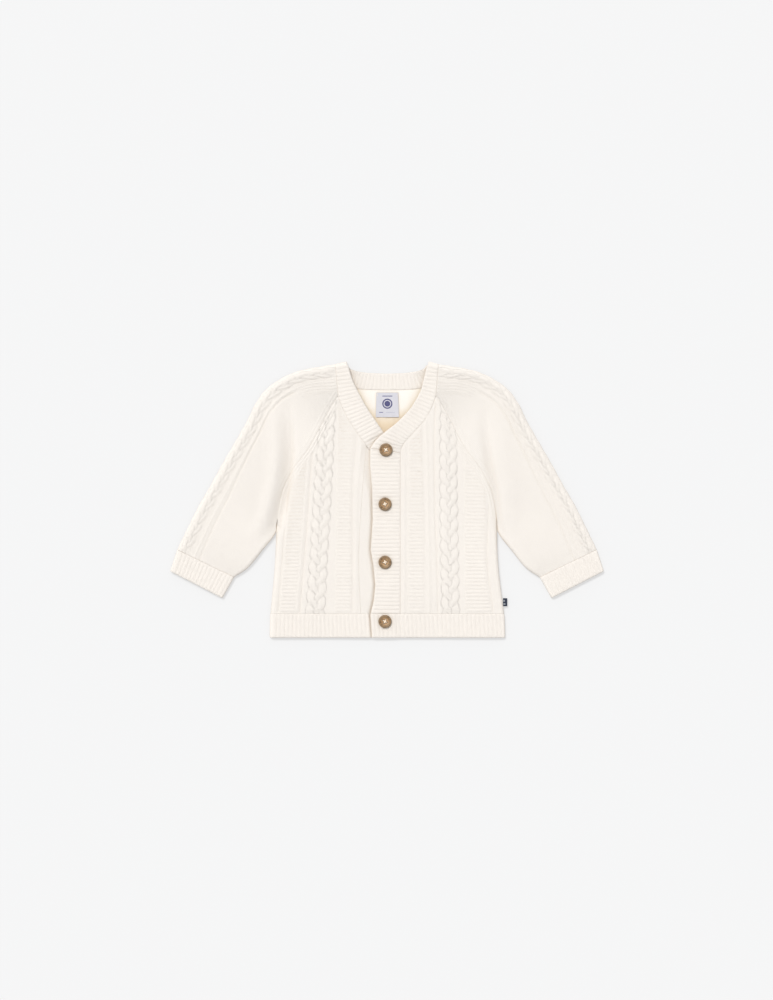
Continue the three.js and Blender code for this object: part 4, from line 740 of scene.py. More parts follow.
def build_back():
    bottom = HEM_SEAM + SEAM_GAP / 2
    corner_x, corner_y = BACK_CORNER
    neck_y = BACK_NECK[::-1]
    edges = {side: column(side, "side") for side in SIGN}

    def place(share, y):
        """share runs from -1 at the right side seam to 1 at the left one."""
        height = body_height(y)
        out = np.where(share < 0, -edges["right"](y), edges["left"](y))
        small = height / 2 - HALF
        length = np.pi * small / 2 + out - height / 2
        arc = (1 - np.abs(share)) * length
        angle, inward, z = rolled(height, arc)
        return arc, angle, np.sign(share) * (out - inward), height - z

    half = refined(120.0, 2.4, (False, True)) / 120.0
    shares = np.concatenate([-half[:0:-1], half])
    at_corner = np.abs(place(shares, np.full(shares.shape, corner_y))[2])
    low = np.full(shares.shape, UNDERARM_Y)
    high = np.full(shares.shape, corner_y)
    on_raglan = solve(lambda y: np.abs(place(shares, y)[2]) - raglan_back_x(y), low, high)
    in_neck = smooth(neck_y[:4, 2], neck_y[:4, 3], np.minimum(at_corner, corner_x))
    tops = np.where(at_corner > corner_x, on_raglan, in_neck) - SEAM_GAP / 2
    rows = refined(240.0, 2.4) / 240.0
    y = bottom + (tops[None, :] - bottom) * rows[:, None]
    arc, angle, x, z = place(shares[None, :], y)
    z = np.maximum(z, HALF)
    middle = np.stack([x, y, z], axis=-1)
    to_top = (tops[None, :] - y)
    thick = np.minimum.reduce([
        edge_profile(arc, *ROLLED), edge_profile(y - bottom, *ROLLED), edge_profile(to_top, *ROLLED),
    ])
    uv = np.stack([x, y], axis=-1)
    inside = 0.25 * np.abs(np.sin(np.pi * x / 9.3)) * ease(0, 6, to_top) * ease(60, 90, y)
    obj = shell("back_cloth", middle, thick, inside * thick, uv, inside_knit)
    obj.data.materials.append(knit)
    slots = np.zeros(len(obj.data.polygons), dtype=np.int32)
    count = (len(rows) - 1) * (len(shares) - 1)
    slots[count:] = 1
    obj.data.polygons.foreach_set("material_index", slots)
    return obj


def sleeve(side):
    sign = SIGN[side]
    keys = np.arange(LAST_ROW + 1)
    at = [lambda u, c=c: smooth(keys, SLEEVE[:, c], u) for c in range(7)]
    fold_x, fold_y, tube_x, front_y, back_y, height_at, strip_at = at
    fine = np.linspace(0.004, LAST_ROW, 3001)
    steps = np.hypot(np.diff(fold_x(fine)), np.diff(fold_y(fine)))
    run_fine = np.concatenate([[0], np.cumsum(steps)])
    run = refined(run_fine[-1], 1.0)
    u = np.interp(run, run_fine, fine)[:, None]

    def half(layer_y, seam_x, shares):
        edge_y = layer_y(u)
        edge_x = np.where(u <= UNDERARM_ROW, tube_x(u), seam_x(edge_y))
        dx, dy = fold_x(u) - edge_x, fold_y(u) - edge_y
        reach = np.hypot(dx, dy)
        height = height_at(u)
        radius = height / 2
        small = radius - HALF
        bend = np.pi * small / 2
        length = 2 * bend + reach - 2 * radius
        arc = shares[None, :] * length
        opened = ease(UNDERARM_ROW, UNDERARM_ROW + 0.7, u)
        angle, inward, z = rolled(height, arc)
        flat = np.where(arc < bend, arc * radius / bend, radius + arc - bend)
        away = mix(inward, flat, opened)
        z = mix(z, 2 * radius - HALF, opened)
        turn = np.clip((arc - (length - bend)) / small, 0, np.pi / 2)
        away = np.where(turn > 0, reach - radius + small * np.sin(turn), away)
        z = np.where(turn > 0, radius + small * np.cos(turn), z)
        settled = mix(np.sin(angle), 1, opened) * np.cos(turn)
        x, y = edge_x + dx * away / reach, edge_y + dy * away / reach
        return dict(x=x, y=y, z=z, arc=arc, length=length, away=away, reach=reach,
                    settled=settled, height=height)

    front_shares = refined(72.0, 0.95, (True, False)) / 72.0
    back_shares = refined(72.0, 3.2, (True, False))[::-1] / 72.0
    up = half(front_y, raglan_x, front_shares)
    down = half(back_y, raglan_back_x, back_shares)
    up["z"] = up["z"] + up["settled"] * (soft_waves(sign * up["x"], up["y"])
                                         - valley_depth(sign * up["x"], up["y"]))
    scallop = 0.35 * np.abs(np.sin(np.pi * run / CABLE_CROSSING))[:, None]
    from_fold = up["reach"] - up["away"]
    near_fold = 1 - ease(2, 14, from_fold)
    fade = ease(0, 6, run)[:, None] * (1 - ease(run[-1] - 12, run[-1] - 2, run))[:, None]
    rise, shift = plait(np.clip((8.0 - from_fold) / 5.2, -1.2, 1.2), run[:, None] + 0 * from_fold)
    relief_up = rise * fade
    on_arm = 1 - ease(8.3, 8.8, u)
    relief_up -= GROOVE * on_arm * rib(from_fold - strip_at(u), 1.7)
    relief_up += 0.45 * on_arm * rib(from_fold - mix(strip_at(u), 14.0, 0.5), 2.0)
    relief_up += scallop * near_fold * fade
    to_raglan, _ = distance_to(RAGLAN_PATH, up["x"], up["y"])
    shoulder = (1 - on_arm) * ease(0.3, 2.0, run[-1] - run)[:, None] * ease(6.5, 8.5, to_raglan)
    lines = np.abs(np.cos(np.pi * (from_fold - SHOULDER_LINES[0]) / SHOULDER_LINE)) ** RIB_POWER
    beads = 0.75 + 0.25 * np.abs(np.sin(np.pi * run / LADDER_RIDGE))[:, None] ** 0.5
    relief_up += 0.4 * shoulder * lines * beads * window(from_fold, *SHOULDER_LINES)
    on_cap = ease(UNDERARM_ROW + 1.2, UNDERARM_ROW + 2.2, u)
    relief_up += RAGLAN_RISE * on_cap * (rib(to_raglan - 2.0, 1.7) + rib(to_raglan - 4.8, 1.7))
    down["z"] = down["height"] - down["z"]
    parts = {key: np.concatenate([up[key], down[key][:, 1:]], axis=1) for key in ("x", "y", "z")}
    middle = np.stack([sign * parts["x"], parts["y"], parts["z"]], axis=-1)
    ends = np.minimum(edge_profile(run, *SEAMED), edge_profile(run[-1] - run, *SEAMED))[:, None]
    seam_up = edge_profile(up["arc"], *SEAMED)
    seam_down = edge_profile(down["arc"], *SEAMED)
    thick = np.concatenate([seam_up, seam_down[:, 1:]], axis=1) * ends
    relief = np.concatenate([relief_up * seam_up * ends, 0 * down["arc"][:, 1:]], axis=1)
    across = np.concatenate([from_fold - shift * 5.2, -(down["reach"] - down["away"])[:, 1:]], axis=1)
    uv = np.stack([sign * across, run[:, None] + np.zeros_like(across)], axis=-1)
    return shell("sleeve_" + side + "_cloth", middle, thick, relief, uv, knit, flip=(side == "right"))


# Ribbed pieces


def path_sections(rows, step):
    """Rows of a neckband table resampled at even steps along the middle of the band."""
    keys = np.arange(len(rows))
    fine = np.linspace(0, len(rows) - 1, 1500)
    table = np.stack([smooth(keys, rows[:, c], fine) for c in range(4)], axis=1)
    centre = (table[:, :2] + table[:, 2:]) / 2
    run = np.concatenate([[0], np.cumsum(np.hypot(*np.diff(centre, axis=0).T))])
    at = np.linspace(0, run[-1], max(2, int(round(run[-1] / step)) + 1))
    return np.stack([np.interp(at, run, table[:, c]) for c in range(4)], axis=1)


def beside_sleeve(corner, y, side):
    top_x, top_y = NECK_PEAK["left"][2:]
    return SIGN[side] * mix(corner[0], top_x, (y - corner[1]) / (top_y - corner[1]))


NECK_STEP = 0.5
LAPPED_NECK_Y = 100
NECK_CALM = (125, 141)


def neckband():
    radius = LIE_HEIGHT / 2
    small = radius - HALF
    stretches = []

    def add(rows, part, angles=None):
        angles = np.full(len(rows), 90.0 if part != "back" else -90.0) if angles is None else angles
        stretches.append((rows, [part] * len(rows), angles))

    def front_rows(side):
        rows = path_sections(NECK[side], NECK_STEP)
        beside = rows[:, 3] > RAGLAN_CORNER[1]
        rows[:, 2] = np.where(beside, beside_sleeve(RAGLAN_CORNER, rows[:, 3], side), rows[:, 2])
        return rows

    def back_rows(side):
        rows = path_sections(BACK_NECK, NECK_STEP)
        beside = rows[:, 2] > BACK_CORNER[0]
        rows[:, 2] = np.where(beside, beside_sleeve(BACK_CORNER, rows[:, 3], "left"), rows[:, 2])
        rows[:, [0, 2]] *= SIGN[side]
        return rows

    def fold_rows(side, angles):
        inner_x, inner_y, _, outer_y = NECK_PEAK[side]
        inward = radius - small * np.cos(np.radians(angles))
        corner = [RAGLAN_CORNER if angle >= 0 else BACK_CORNER for angle in angles]
        outer = [beside_sleeve(c, outer_y - i, side) for c, i in zip(corner, inward)]
        return np.stack([np.full(len(angles), inner_x), inner_y - inward,
                         np.array(outer), outer_y - inward], axis=1)

    turn = np.linspace(82, -82, 21)
    add(front_rows("right"), "right")
    add(fold_rows("right", turn), "fold", turn)
    add(back_rows("right"), "back")
    add(back_rows("left")[::-1][1:], "back")
    add(fold_rows("left", turn[::-1]), "fold", turn[::-1])
    add(front_rows("left")[::-1], "left")
    rows = np.concatenate([s[0] for s in stretches])
    part = np.array(sum([s[1] for s in stretches], []))[:, None]
    angle = np.radians(np.concatenate([s[2] for s in stretches]))[:, None]
    width = np.hypot(rows[:, 2] - rows[:, 0], rows[:, 3] - rows[:, 1])[:, None]
    shares = refined(21.0, 1.1)[None, :] / 21.0
    x = mix(rows[:, 0:1], rows[:, 2:3], shares)
    y = mix(rows[:, 1:2], rows[:, 3:4], shares)
    lap = np.where((part == "left") & (y < LAPPED_NECK_Y), lap_rise(x, y), 0)
    lap = np.where(part == "right", -lap_dip(x, y), lap)
    top = LIE_HEIGHT - valley_depth(x, y) + lap + soft_waves(x, y) - HALF
    top_fold = radius + small * np.sin(angle) + 0 * x
    calm = 1 - ease(*NECK_CALM, y)
    top = mix(LIE_HEIGHT - HALF, top, np.where(part == "fold", 0, calm))
    z = np.where(part == "back", HALF, np.where(part == "fold", top_fold, top))
    middle = np.stack([x, y, z], axis=-1)
    centre = middle[:, middle.shape[1] // 2]
    run = np.concatenate([[0], np.cumsum(np.linalg.norm(np.diff(centre, axis=0), axis=1))])[:, None]
    inner_edge = edge_profile(shares * width, *FREE)
    outer_edge = edge_profile((1 - shares) * width, *SEAMED)
    ends = edge_profile(np.minimum(run, run[-1] - run), *SEAMED)
    thick = np.minimum(np.minimum(inner_edge, outer_edge), ends)
    ribs = RIB_RISE * (np.abs(np.cos(np.pi * run / BAND_RIB)) ** RIB_POWER) + 0 * x
    ribs *= ease(0, 1.6, shares * width) * ease(0, 1.2, (1 - shares) * width)
    shown = np.where(part == "right", clear_of_lap(x, y), 1)
    front_relief = ribs * shown * np.clip(np.sin(angle) + 0.35, 0, 1)
    outer_relief = np.where(part == "back", -0.3 * (1 - ribs / RIB_RISE), front_relief)
    inner_relief = np.where(part == "back", ribs, 0)
    uv = np.stack([run + 0 * x, shares * width], axis=-1)
    return shell("neckband_cloth", middle, thick, outer_relief, uv, rib_knit, under=inner_relief, flip=True)


BAND_WIDTH, BAND_LENGTH = 31.0, 175.0
BAND_FREE = (1.8, 0.3)


def band(name, left_at, right_at, y_low, top_at, z_at, free_left, material, shown_at):
    """A front band: columns from one edge to the other, rows that stop at a slanted top."""
    shares = refined(BAND_WIDTH, 1.1)[None, :] / BAND_WIDTH
    tops = np.full(shares.shape, 50.0)
    for _ in range(12):
        tops = top_at(mix(left_at(tops), right_at(tops), shares))
    rows = refined(BAND_LENGTH, 0.52)[:, None] / BAND_LENGTH
    y = y_low + (tops - y_low) * rows
    x = mix(left_at(y), right_at(y), shares)
    width = right_at(y) - left_at(y)
    z = z_at(x, y) + soft_waves(x, y) - HALF
    middle = np.stack([x, y, z], axis=-1)
    left_edge = edge_profile(shares * width, *(BAND_FREE if free_left else SEAMED))
    right_edge = edge_profile((1 - shares) * width, *SEAMED)
    ends = np.minimum(edge_profile(y - y_low, *SEAMED), edge_profile(tops - y, *SEAMED))
    thick = np.minimum(np.minimum(left_edge, right_edge), ends)
    ribs = RIB_RISE * np.abs(np.cos(np.pi * y / BAND_RIB)) ** RIB_POWER
    ribs = ribs * ease(0.2, 1.5, shares * width) * ease(0.1, 1.2, (1 - shares) * width) * shown_at(x, y)
    uv = np.stack([y, x], axis=-1)
    return shell(name, middle, thick, ribs * thick, uv, material)


BAND_SEAM_X = 14.1
STAND_DROP = 0.4  # below the seam, at its top


def button_band():
    low = NECK["left"][0]

    def top_at(x):
        return mix(low[1], low[3], (x - low[0]) / (low[2] - low[0])) - SEAM_GAP

    return band("button_band_cloth", lap_edge, lambda y: BAND_SEAM_X - SEAM_GAP / 2 + 0 * y,
                HEM_SEAM + SEAM_GAP / 2, top_at, lambda x, y: body_height(y) + lap_rise(x, y),
                True, rib_knit, lambda x, y: 1.0)


def button_stand():
    rows = NECK["right"][:3][::-1]
    corner = NECK["right"][0]

    def top_at(x):
        seam = smooth(rows[:, 2], rows[:, 3], x)
        return np.where(x < corner[2], seam, corner[3]) - STAND_DROP

    seam_x = column("right", "band")
    return band("button_stand_cloth", lambda y: seam_x(y) + SEAM_GAP / 2,
                lambda y: LAP_HIDDEN_END + 0 * y, HEM_SEAM + SEAM_GAP / 2, top_at,
                lambda x, y: body_height(y) - lap_dip(x, y), False, knit, lambda x, y: 0.0)


HEM_SIDE = {"right": -124.0, "left": 125.0}
HEM_REACH = {"right": 127.0, "left": 143.0}
HEM_DEPTH, HEM_ROW = 25.3, 1.3
BACK_HALF = 124.0


def hem_side(side):
    at_seam = COLUMNS[side]["side"][0]
    return lambda y: mix(at_seam, HEM_SIDE[side], (HEM_SEAM - y) / (HALF_LENGTH + HEM_SEAM))


def front_hem(side):
    sign = SIGN[side]
    edge = hem_side(side)
    ends_at = (lambda y: LAP_HIDDEN_END + 0 * y) if side == "right" else lap_edge
    shown_to = (lambda y: lap_edge(y) - 1) if side == "right" else lap_edge
    reach = HEM_REACH[side]
    shares = refined(reach, 0.5)[None, :] / reach
    rows = refined(HEM_DEPTH, HEM_ROW)[:, None]
    y = -HALF_LENGTH + rows * (HALF_LENGTH + HEM_SEAM - SEAM_GAP / 2) / HEM_DEPTH
    height = body_height(y)
    small = height / 2 - HALF
    length = np.pi * small / 2 + np.abs(ends_at(y) - edge(y)) - height / 2
    arc = shares * length
    angle, inward, z = rolled(height, arc)
    x = edge(y) - sign * inward
    lap = -lap_dip(x, y) if side == "right" else lap_rise(x, y)
    z = z + np.sin(angle) * (lap + soft_waves(x, y) * 0.8)
    middle = np.stack([x, y + 0 * x, z], axis=-1)
    start = edge(y) - sign * height / 2
    count = round(abs(float(shown_to(np.array(-HALF_LENGTH))) - float(start[0, 0])) / HEM_RIB)
    phase = (x - start) / (shown_to(y) - start) * count
    ribs = RIB_RISE * np.abs(np.sin(np.pi * phase)) ** RIB_POWER
    if side == "right":
        ribs = ribs * clear_of_lap(x, y)
    thick = np.minimum.reduce([
        edge_profile(y + HALF_LENGTH, *FREE) + 0 * x,
        edge_profile(HEM_SEAM - y, *SEAMED) + 0 * x,
        edge_profile(arc, *ROLLED),
        edge_profile(length - arc, 1.1, 0.12 if side == "left" else 0.5),
    ])
    ribs = ribs * ease(0, 1.6, y + HALF_LENGTH) * ease(0.1, 1.4, HEM_SEAM - y) * ease(0, 1.4, length - arc)
    uv = np.stack([x, y + 0 * x], axis=-1)
    return shell("hem_front_" + side + "_cloth", middle, thick, ribs, uv, rib_knit, flip=(side == "left"))


def back_hem():
    edges = {side: hem_side(side) for side in SIGN}
    half = refined(BACK_HALF, 0.9, (False, True)) / BACK_HALF
    shares = np.concatenate([-half[:0:-1], half])[None, :]
    rows = refined(HEM_DEPTH, HEM_ROW)[:, None]
    y = -HALF_LENGTH + rows * (HALF_LENGTH + HEM_SEAM - SEAM_GAP / 2) / HEM_DEPTH
    height = body_height(y)
    out = np.where(shares < 0, -edges["right"](y), edges["left"](y))
    length = np.pi * (height / 2 - HALF) / 2 + out - height / 2
    arc = (1 - np.abs(shares)) * length
    angle, inward, z = rolled(height, arc)
    x = np.sign(shares) * (out - inward)
    middle = np.stack([x, y + 0 * x, height - z], axis=-1)
    thick = np.minimum.reduce([
        edge_profile(y + HALF_LENGTH, *FREE) + 0 * x,
        edge_profile(HEM_SEAM - y, *ROLLED) + 0 * x,
        edge_profile(arc, *ROLLED),
    ])
    ribs = np.abs(np.sin(np.pi * x / HEM_RIB)) ** RIB_POWER
    inner = 0.5 * ribs * thick
    outer = -0.35 * (1 - ribs) * thick
    uv = np.stack([x, y + 0 * x], axis=-1)
    return shell("hem_back_cloth", middle, thick, inner, uv, rib_knit, under=outer)


CUFF_ACROSS = 62.0


def cuff(side):
    sign = SIGN[side]
    fold_end, fold_seam = np.array(CUFF_END[:2]), SLEEVE[0, :2]
    edge_end, edge_seam = np.array(CUFF_END[2:]), SLEEVE[0, 2:4]
    deep = float(np.hypot(*((fold_seam + edge_seam - fold_end - edge_end) / 2)))
    rows = refined(deep, 1.3)[:, None] / deep
    v = rows * (1 - SEAM_GAP / 2 / deep)
    edge_x, edge_y = mix(edge_end[0], edge_seam[0], v), mix(edge_end[1], edge_seam[1], v)
    dx = mix(fold_end[0], fold_seam[0], v) - edge_x
    dy = mix(fold_end[1], fold_seam[1], v) - edge_y
    reach = np.hypot(dx, dy)
    height = mix(CUFF_HEIGHT, SLEEVE[0, 5], v)
    radius = height / 2
    small = radius - HALF
    bend = np.pi * small / 2
    length = 2 * bend + reach - 2 * radius
    one_way = refined(CUFF_ACROSS, 0.52, (True, False))[None, :] / CUFF_ACROSS
    shares = np.concatenate([one_way, 2 - one_way[:, -2::-1]], axis=1)
    arc = np.where(shares <= 1, shares, 2 - shares) * length
    angle, away, z = rolled(height, arc)
    turn = np.clip((arc - (length - bend)) / small, 0, np.pi / 2)
    away = np.where(turn > 0, reach - radius + small * np.sin(turn), away)
    z = np.where(turn > 0, radius + small * np.cos(turn), z)
    z = np.where(shares <= 1, z, height - z)
    x, y = sign * (edge_x + dx * away / reach), edge_y + dy * away / reach
    upper = shares <= 1
    middle = np.stack([x, y, z], axis=-1)
    thick = np.minimum.reduce([
        edge_profile(v * deep, *FREE) + 0 * x,
        edge_profile((1 - v) * deep, *SEAMED) + 0 * x,
        edge_profile(arc, 0.8, 0.7),
    ])
    count = round((float(reach[0, 0]) - CUFF_HEIGHT) / CUFF_RIB)
    phase = (away - radius) / (reach - 2 * radius) * count
    ribs = np.abs(np.sin(np.pi * phase)) ** RIB_POWER
    settled = np.sin(angle) * np.cos(turn)
    ends = ease(0, 1.6, v * deep) * ease(0.1, 1.4, (1 - v) * deep)
    relief = np.where(upper, RIB_RISE * ribs * settled * ends, -0.35 * (1 - ribs) * settled * ends)
    uv = np.stack([np.where(upper, away, 2 * reach - away), v * deep + 0 * x], axis=-1)
    return shell("cuff_" + side + "_cloth", middle, thick, relief, uv, rib_knit, flip=(side == "right"))


# Trim

BUTTON_RADIUS = 6.9
BUTTON_HEIGHT = 3.0
HOLE_RING = 2.15
HOLE_RADIUS = 0.95
BUTTON_SEGMENTS = 72


def button_mesh():
    """A rimmed, dished button with four holes, its underside at z = 0."""
    r, h = BUTTON_RADIUS, BUTTON_HEIGHT
    profile = [(0.0, 0.0), (r - 1.9, 0.0), (r - 0.9, 0.25), (r - 0.25, 0.8), (r, 1.5), (r - 0.1, 2.2),
               (r - 0.45, 2.75), (r - 0.95, h), (r - 1.5, h - 0.06), (r - 2.0, h - 0.35),
               (r - 2.5, h - 0.75), (r - 3.1, h - 0.95), (r - 4.2, h - 1.0), (0.0, h - 0.95)]
    segments = BUTTON_SEGMENTS
    points, faces = [(0, 0, profile[0][1])], []
    rings = profile[1:-1]
    for ring_r, ring_z in rings:
        for k in range(segments):
            turn = 2 * math.pi * k / segments
            points.append((ring_r * math.cos(turn), ring_r * math.sin(turn), ring_z))
    points.append((0, 0, profile[-1][1]))
    last = len(points) - 1
    for k in range(segments):
        n = (k + 1) % segments
        faces.append((0, 1 + n, 1 + k))
        top = 1 + (len(rings) - 1) * segments
        faces.append((last, top + k, top + n))
        for ring in range(len(rings) - 1):
            a, b = 1 + ring * segments, 1 + (ring + 1) * segments
            faces.append((a + k, a + n, b + n, b + k))
    mesh = bpy.data.meshes.new("button")
    mesh.from_pydata([(x * MM, y * MM, z * MM) for x, y, z in points], [], faces)
    solid = bpy.data.objects.new("button_blank", mesh)
    bpy.context.scene.collection.objects.link(solid)
    cutters = []
    for k in range(4):
        turn = math.pi / 4 + k * math.pi / 2
        bpy.ops.mesh.primitive_cylinder_add(
            vertices=24, radius=HOLE_RADIUS * MM, depth=12 * MM,
            location=(HOLE_RING * math.cos(turn) * MM, HOLE_RING * math.sin(turn) * MM, 0))
        cutter = bpy.context.object
        cutters.append(cutter)
        cut = solid.modifiers.new("hole", "BOOLEAN")
        cut.operation = "DIFFERENCE"
        cut.solver = "EXACT"
        cut.object = cutter
    bevel = solid.modifiers.new("soft", "BEVEL")
    bevel.width = 0.12 * MM
    bevel.segments = 2
    bevel.limit_method = "ANGLE"
    bevel.angle_limit = math.radians(50)
    graph = bpy.context.evaluated_depsgraph_get()
    result = bpy.data.meshes.new_from_object(solid.evaluated_get(graph))
    for leftover in cutters + [solid]:
        bpy.data.objects.remove(leftover)
    result.materials.clear()
    result.materials.append(wood)
    result.shade_smooth()
    result.set_sharp_from_angle(angle=math.radians(40))
    return result


STRAND_SIDES = 8


def strands(name, paths, parent=None):
    """Round strands of thread along smooth paths, each given with its radius."""
    points, faces = [], []
    turns = 2 * np.pi * np.arange(STRAND_SIDES) / STRAND_SIDES
    around = np.arange(STRAND_SIDES)
    for path, radius in paths:
        path = np.array(path, float)
        keys = np.arange(len(path))
        at = np.linspace(0, keys[-1], 6 * keys[-1] + 1)
        line = np.stack([smooth(keys, path[:, c], at) for c in range(3)], axis=1)
        ways = np.gradient(line, axis=0)
        ways /= np.linalg.norm(ways, axis=1, keepdims=True)
        side = np.cross(ways[0], (0.31, 0.52, 0.79))
        first = len(points)
        for place, way in zip(line, ways):
            side = side - way * np.dot(side, way)
            side /= np.linalg.norm(side)
            other = np.cross(way, side)
            points.extend(place + radius * (math.cos(t) * side + math.sin(t) * other) for t in turns)
        for ring in range(len(line) - 1):
            a, b = first + ring * STRAND_SIDES, first + (ring + 1) * STRAND_SIDES
            for k in around:
                n = (k + 1) % STRAND_SIDES
                faces.append((a + k, a + n, b + n, b + k))
        last = first + (len(line) - 1) * STRAND_SIDES
        faces.append([first + k for k in around[::-1]])
        faces.append([last + k for k in around])
    mesh = bpy.data.meshes.new(name)
    mesh.from_pydata((np.array(points) * MM).tolist(), [], [[int(i) for i in face] for face in faces])
    mesh.materials.append(thread)
    mesh.shade_smooth()
    mesh.set_sharp_from_angle(angle=math.radians(60))
    obj = bpy.data.objects.new(name, mesh)
    bpy.context.scene.collection.objects.link(obj)
    obj.parent = parent
    return obj


BUTTON_TURNS = {"button_1": 8, "button_2": 52, "button_3": -35, "button_4": 17}
THREAD_RADIUS = 0.27
THREAD_APART = 0.154
SHANK_RADIUS = 0.8


def buttons():
    shape = button_mesh()
    ring = HOLE_RING * math.cos(math.pi / 4)
    face = BUTTON_HEIGHT - 1.0
    paths = [([(0.0, 0.0, -1.3), (0.1, 0.0, 0.2)], SHANK_RADIUS)]
    for crossing, (ax, ay) in enumerate(((-ring, -ring), (ring, -ring))):
        for shift in (-THREAD_APART, THREAD_APART):
            right = shift * (1 if crossing == 0 else -1)
            top = face + 0.42 + 0.22 * crossing
            paths.append(([
                (ax - right, ay + shift, face - 1.6), (0.92 * ax - right, 0.92 * ay + shift, face + 0.12),
                (-right, shift, top), (-0.92 * ax - right, -0.92 * ay + shift, face + 0.12),
                (-ax - right, -ay + shift, face - 1.6)], THREAD_RADIUS))
    sewn = []
    for name, x, y in BUTTONS:
        seat = float(body_height(y) + lap_rise(0.0, y) + soft_waves(x, y)) + RIB_RISE + 0.12
        obj = bpy.data.objects.new(name + "_dished", shape)
        obj.location = (x * MM, y * MM, seat * MM)
        obj.rotation_euler = (0, 0, math.radians(BUTTON_TURNS[name]))
        bpy.context.scene.collection.objects.link(obj)
        strands(name + "_thread", paths, obj)
        sewn.append((obj, name))
    return sewn


LABEL_TOP_WIDTH = 23.0
LABEL_LOW_WIDTH = 24.6
LABEL_X, LABEL_LOW, LABEL_TOP = 0.4, 87.2, 113.3


def neck_label():
    rows = np.linspace(0, 1, 27)[:, None]
    across = np.linspace(-1, 1, 25)[None, :]
    half = mix(LABEL_LOW_WIDTH, LABEL_TOP_WIDTH, rows) / 2
    y = mix(LABEL_LOW, LABEL_TOP, rows) + 0 * across
    x = LABEL_X + across * half
    z = 3.0 + 0.25 * np.sin(across * 1.9 + 0.6) * (1 - rows) + 0.25 * (1 - rows) ** 2
    middle = np.stack([x, y, z], axis=-1)
    thick = np.full(z.shape, 0.36 / WALL)
    uv = np.stack([x - LABEL_X, y - (LABEL_LOW + LABEL_TOP) / 2], axis=-1)
    obj = shell("neck_label_satin", middle, thick, 0 * z, uv, label_satin)
    paths = []
    for sign in (-1, 1):
        stitch_x = LABEL_X + sign * (LABEL_TOP_WIDTH / 2 - 1.0)
        for k in range(2):
            y0 = LABEL_TOP - 1.1 - 1.7 * k
            stitch = [(stitch_x, y0, 3.35), (stitch_x, y0 - 0.6, 3.5), (stitch_x, y0 - 1.2, 3.35)]
            paths.append((stitch, 0.16))
    return obj, strands("label_stitches", paths)


TAB_Y, TAB_WIDTH, TAB_REACH, TAB_THICK = -108.7, 8.5, 127.4, 1.2


def side_tab():
    """A ribbon folded in two, its ends in the side seam."""
    start = float(column("left", "side")(np.array(TAB_Y))) + 0.25
    centre = float(body_height(np.array(TAB_Y))) / 2
    half = TAB_THICK / 2 - 0.22
    turn = np.linspace(-math.pi / 2, math.pi / 2, 13)
    nose = TAB_REACH - 0.22 - half
    x = np.concatenate([np.linspace(start, nose, 10)[:-1], nose + half * np.cos(turn),
                        np.linspace(nose, start, 10)[1:]])
    z = np.concatenate([np.full(9, -half), half * np.sin(turn), np.full(9, half)]) + centre
    run = np.concatenate([[0], np.cumsum(np.hypot(np.diff(x), np.diff(z)))])
    across = np.linspace(-TAB_WIDTH / 2, TAB_WIDTH / 2, 18)[None, :]
    x, z, run = x[:, None] + 0 * across, z[:, None] + 0 * across, run[:, None] + 0 * across
    middle = np.stack([x, TAB_Y + across + 0 * x, z], axis=-1)
    thick = np.full(middle.shape[:2], 0.4 / WALL)
    uv = np.stack([run[-1] - run, across + 0 * x], axis=-1)
    return shell("side_tab_ribbon", middle, thick, 0 * thick, uv, tab_navy)


# The garment



def dress(obj, node):
    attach(obj, "root")
    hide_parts(node)
    return obj


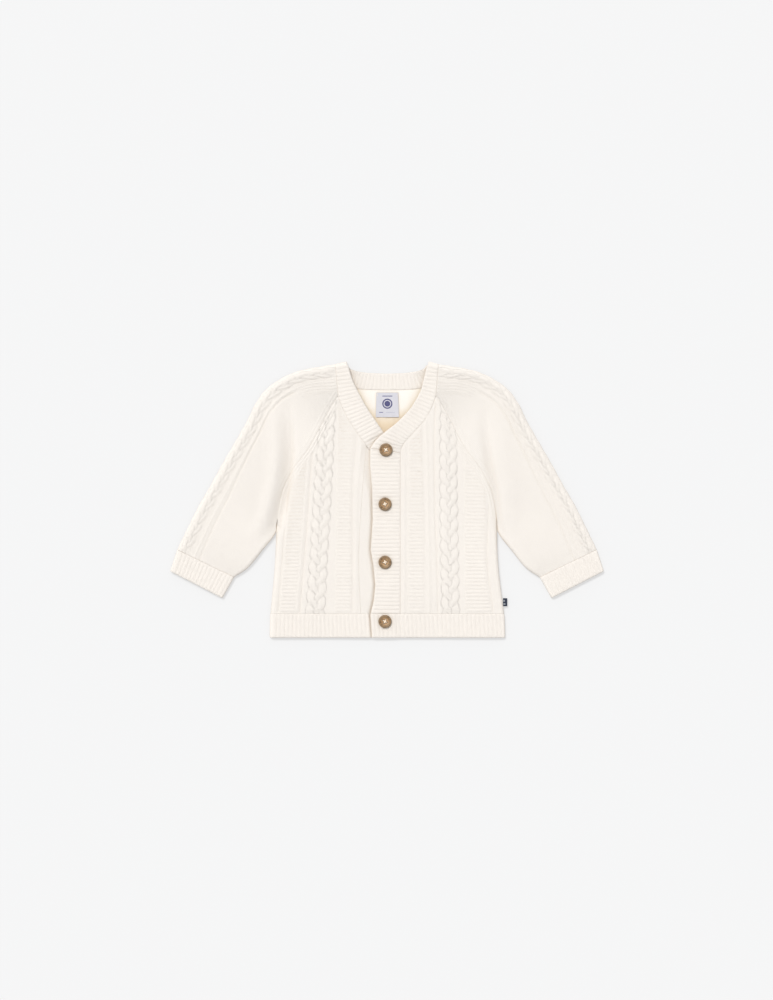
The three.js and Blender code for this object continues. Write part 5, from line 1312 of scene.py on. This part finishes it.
cloth = {}
for side in SIGN:
    cloth["front_" + side] = dress(front(side), "front_" + side)
    cloth["sleeve_" + side] = dress(sleeve(side), "sleeve_" + side)
    cloth["cuff_" + side] = dress(cuff(side), "cuff_" + side)
    cloth["hem_front_" + side] = dress(front_hem(side), "hem_front_" + side)
cloth["back"] = dress(build_back(), "back")
cloth["hem_back"] = dress(back_hem(), "hem_back")
cloth["neckband"] = dress(neckband(), "neckband")
cloth["button_band"] = dress(button_band(), "button_band")
cloth["button_stand"] = dress(button_stand(), "button_stand")
cloth["neck_label"], label_stitches = neck_label()
dress(cloth["neck_label"], "neck_label")
tab = dress(side_tab(), "side_tab")
for obj, node in buttons():
    dress(obj, node)
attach(label_stitches, "root")

# Floor, light and camera


FLOOR_REACH = 8.0
FLOOR_GLOW = 0.543


def floor():
    shader = Shader("floor_pale", 0.9)
    material = shader.finish((0.270, 0.271, 0.273, 1.0))
    shader.main.inputs["Emission Color"].default_value = (1.0, 1.0, 1.0, 1.0)
    shader.main.inputs["Emission Strength"].default_value = FLOOR_GLOW
    mesh = bpy.data.meshes.new("floor")
    reach = FLOOR_REACH
    mesh.from_pydata([(-reach, -reach, -0.0001), (reach, -reach, -0.0001),
                      (reach, reach, -0.0001), (-reach, reach, -0.0001)], [], [(0, 1, 2, 3)])
    mesh.materials.append(material)
    obj = bpy.data.objects.new("floor", mesh)
    bpy.context.scene.collection.objects.link(obj)


def sun(name, way, strength, spread):
    data = bpy.data.lights.new(name, "SUN")
    data.energy = strength
    data.angle = math.radians(spread)
    obj = bpy.data.objects.new(name, data)
    obj.rotation_euler = (-Vector(way)).to_track_quat("-Z", "Y").to_euler()
    bpy.context.scene.collection.objects.link(obj)


floor()
sun("key", (-0.28, 0.48, 1.0), 2.46, 16.0)
world = bpy.data.worlds.new("studio")
world.use_nodes = True
world.node_tree.nodes["Background"].inputs["Color"].default_value = (1.0, 1.0, 1.0, 1.0)
world.node_tree.nodes["Background"].inputs["Strength"].default_value = 0.68
scene = bpy.context.scene
scene.world = world
scene.view_settings.view_transform = "Standard"
scene.view_settings.look = "None"

camera_data = bpy.data.cameras.new("camera")
camera_data.lens = 100.0
camera_data.sensor_width = 36.0
camera_data.sensor_fit = "AUTO"
camera_data.clip_end = 20.0
camera = bpy.data.objects.new("camera", camera_data)
camera.location = (-0.0005, -0.0005, 1.060 * 100.0 / 36.0)
scene.collection.objects.link(camera)
scene.camera = camera

bpy.context.view_layer.update()
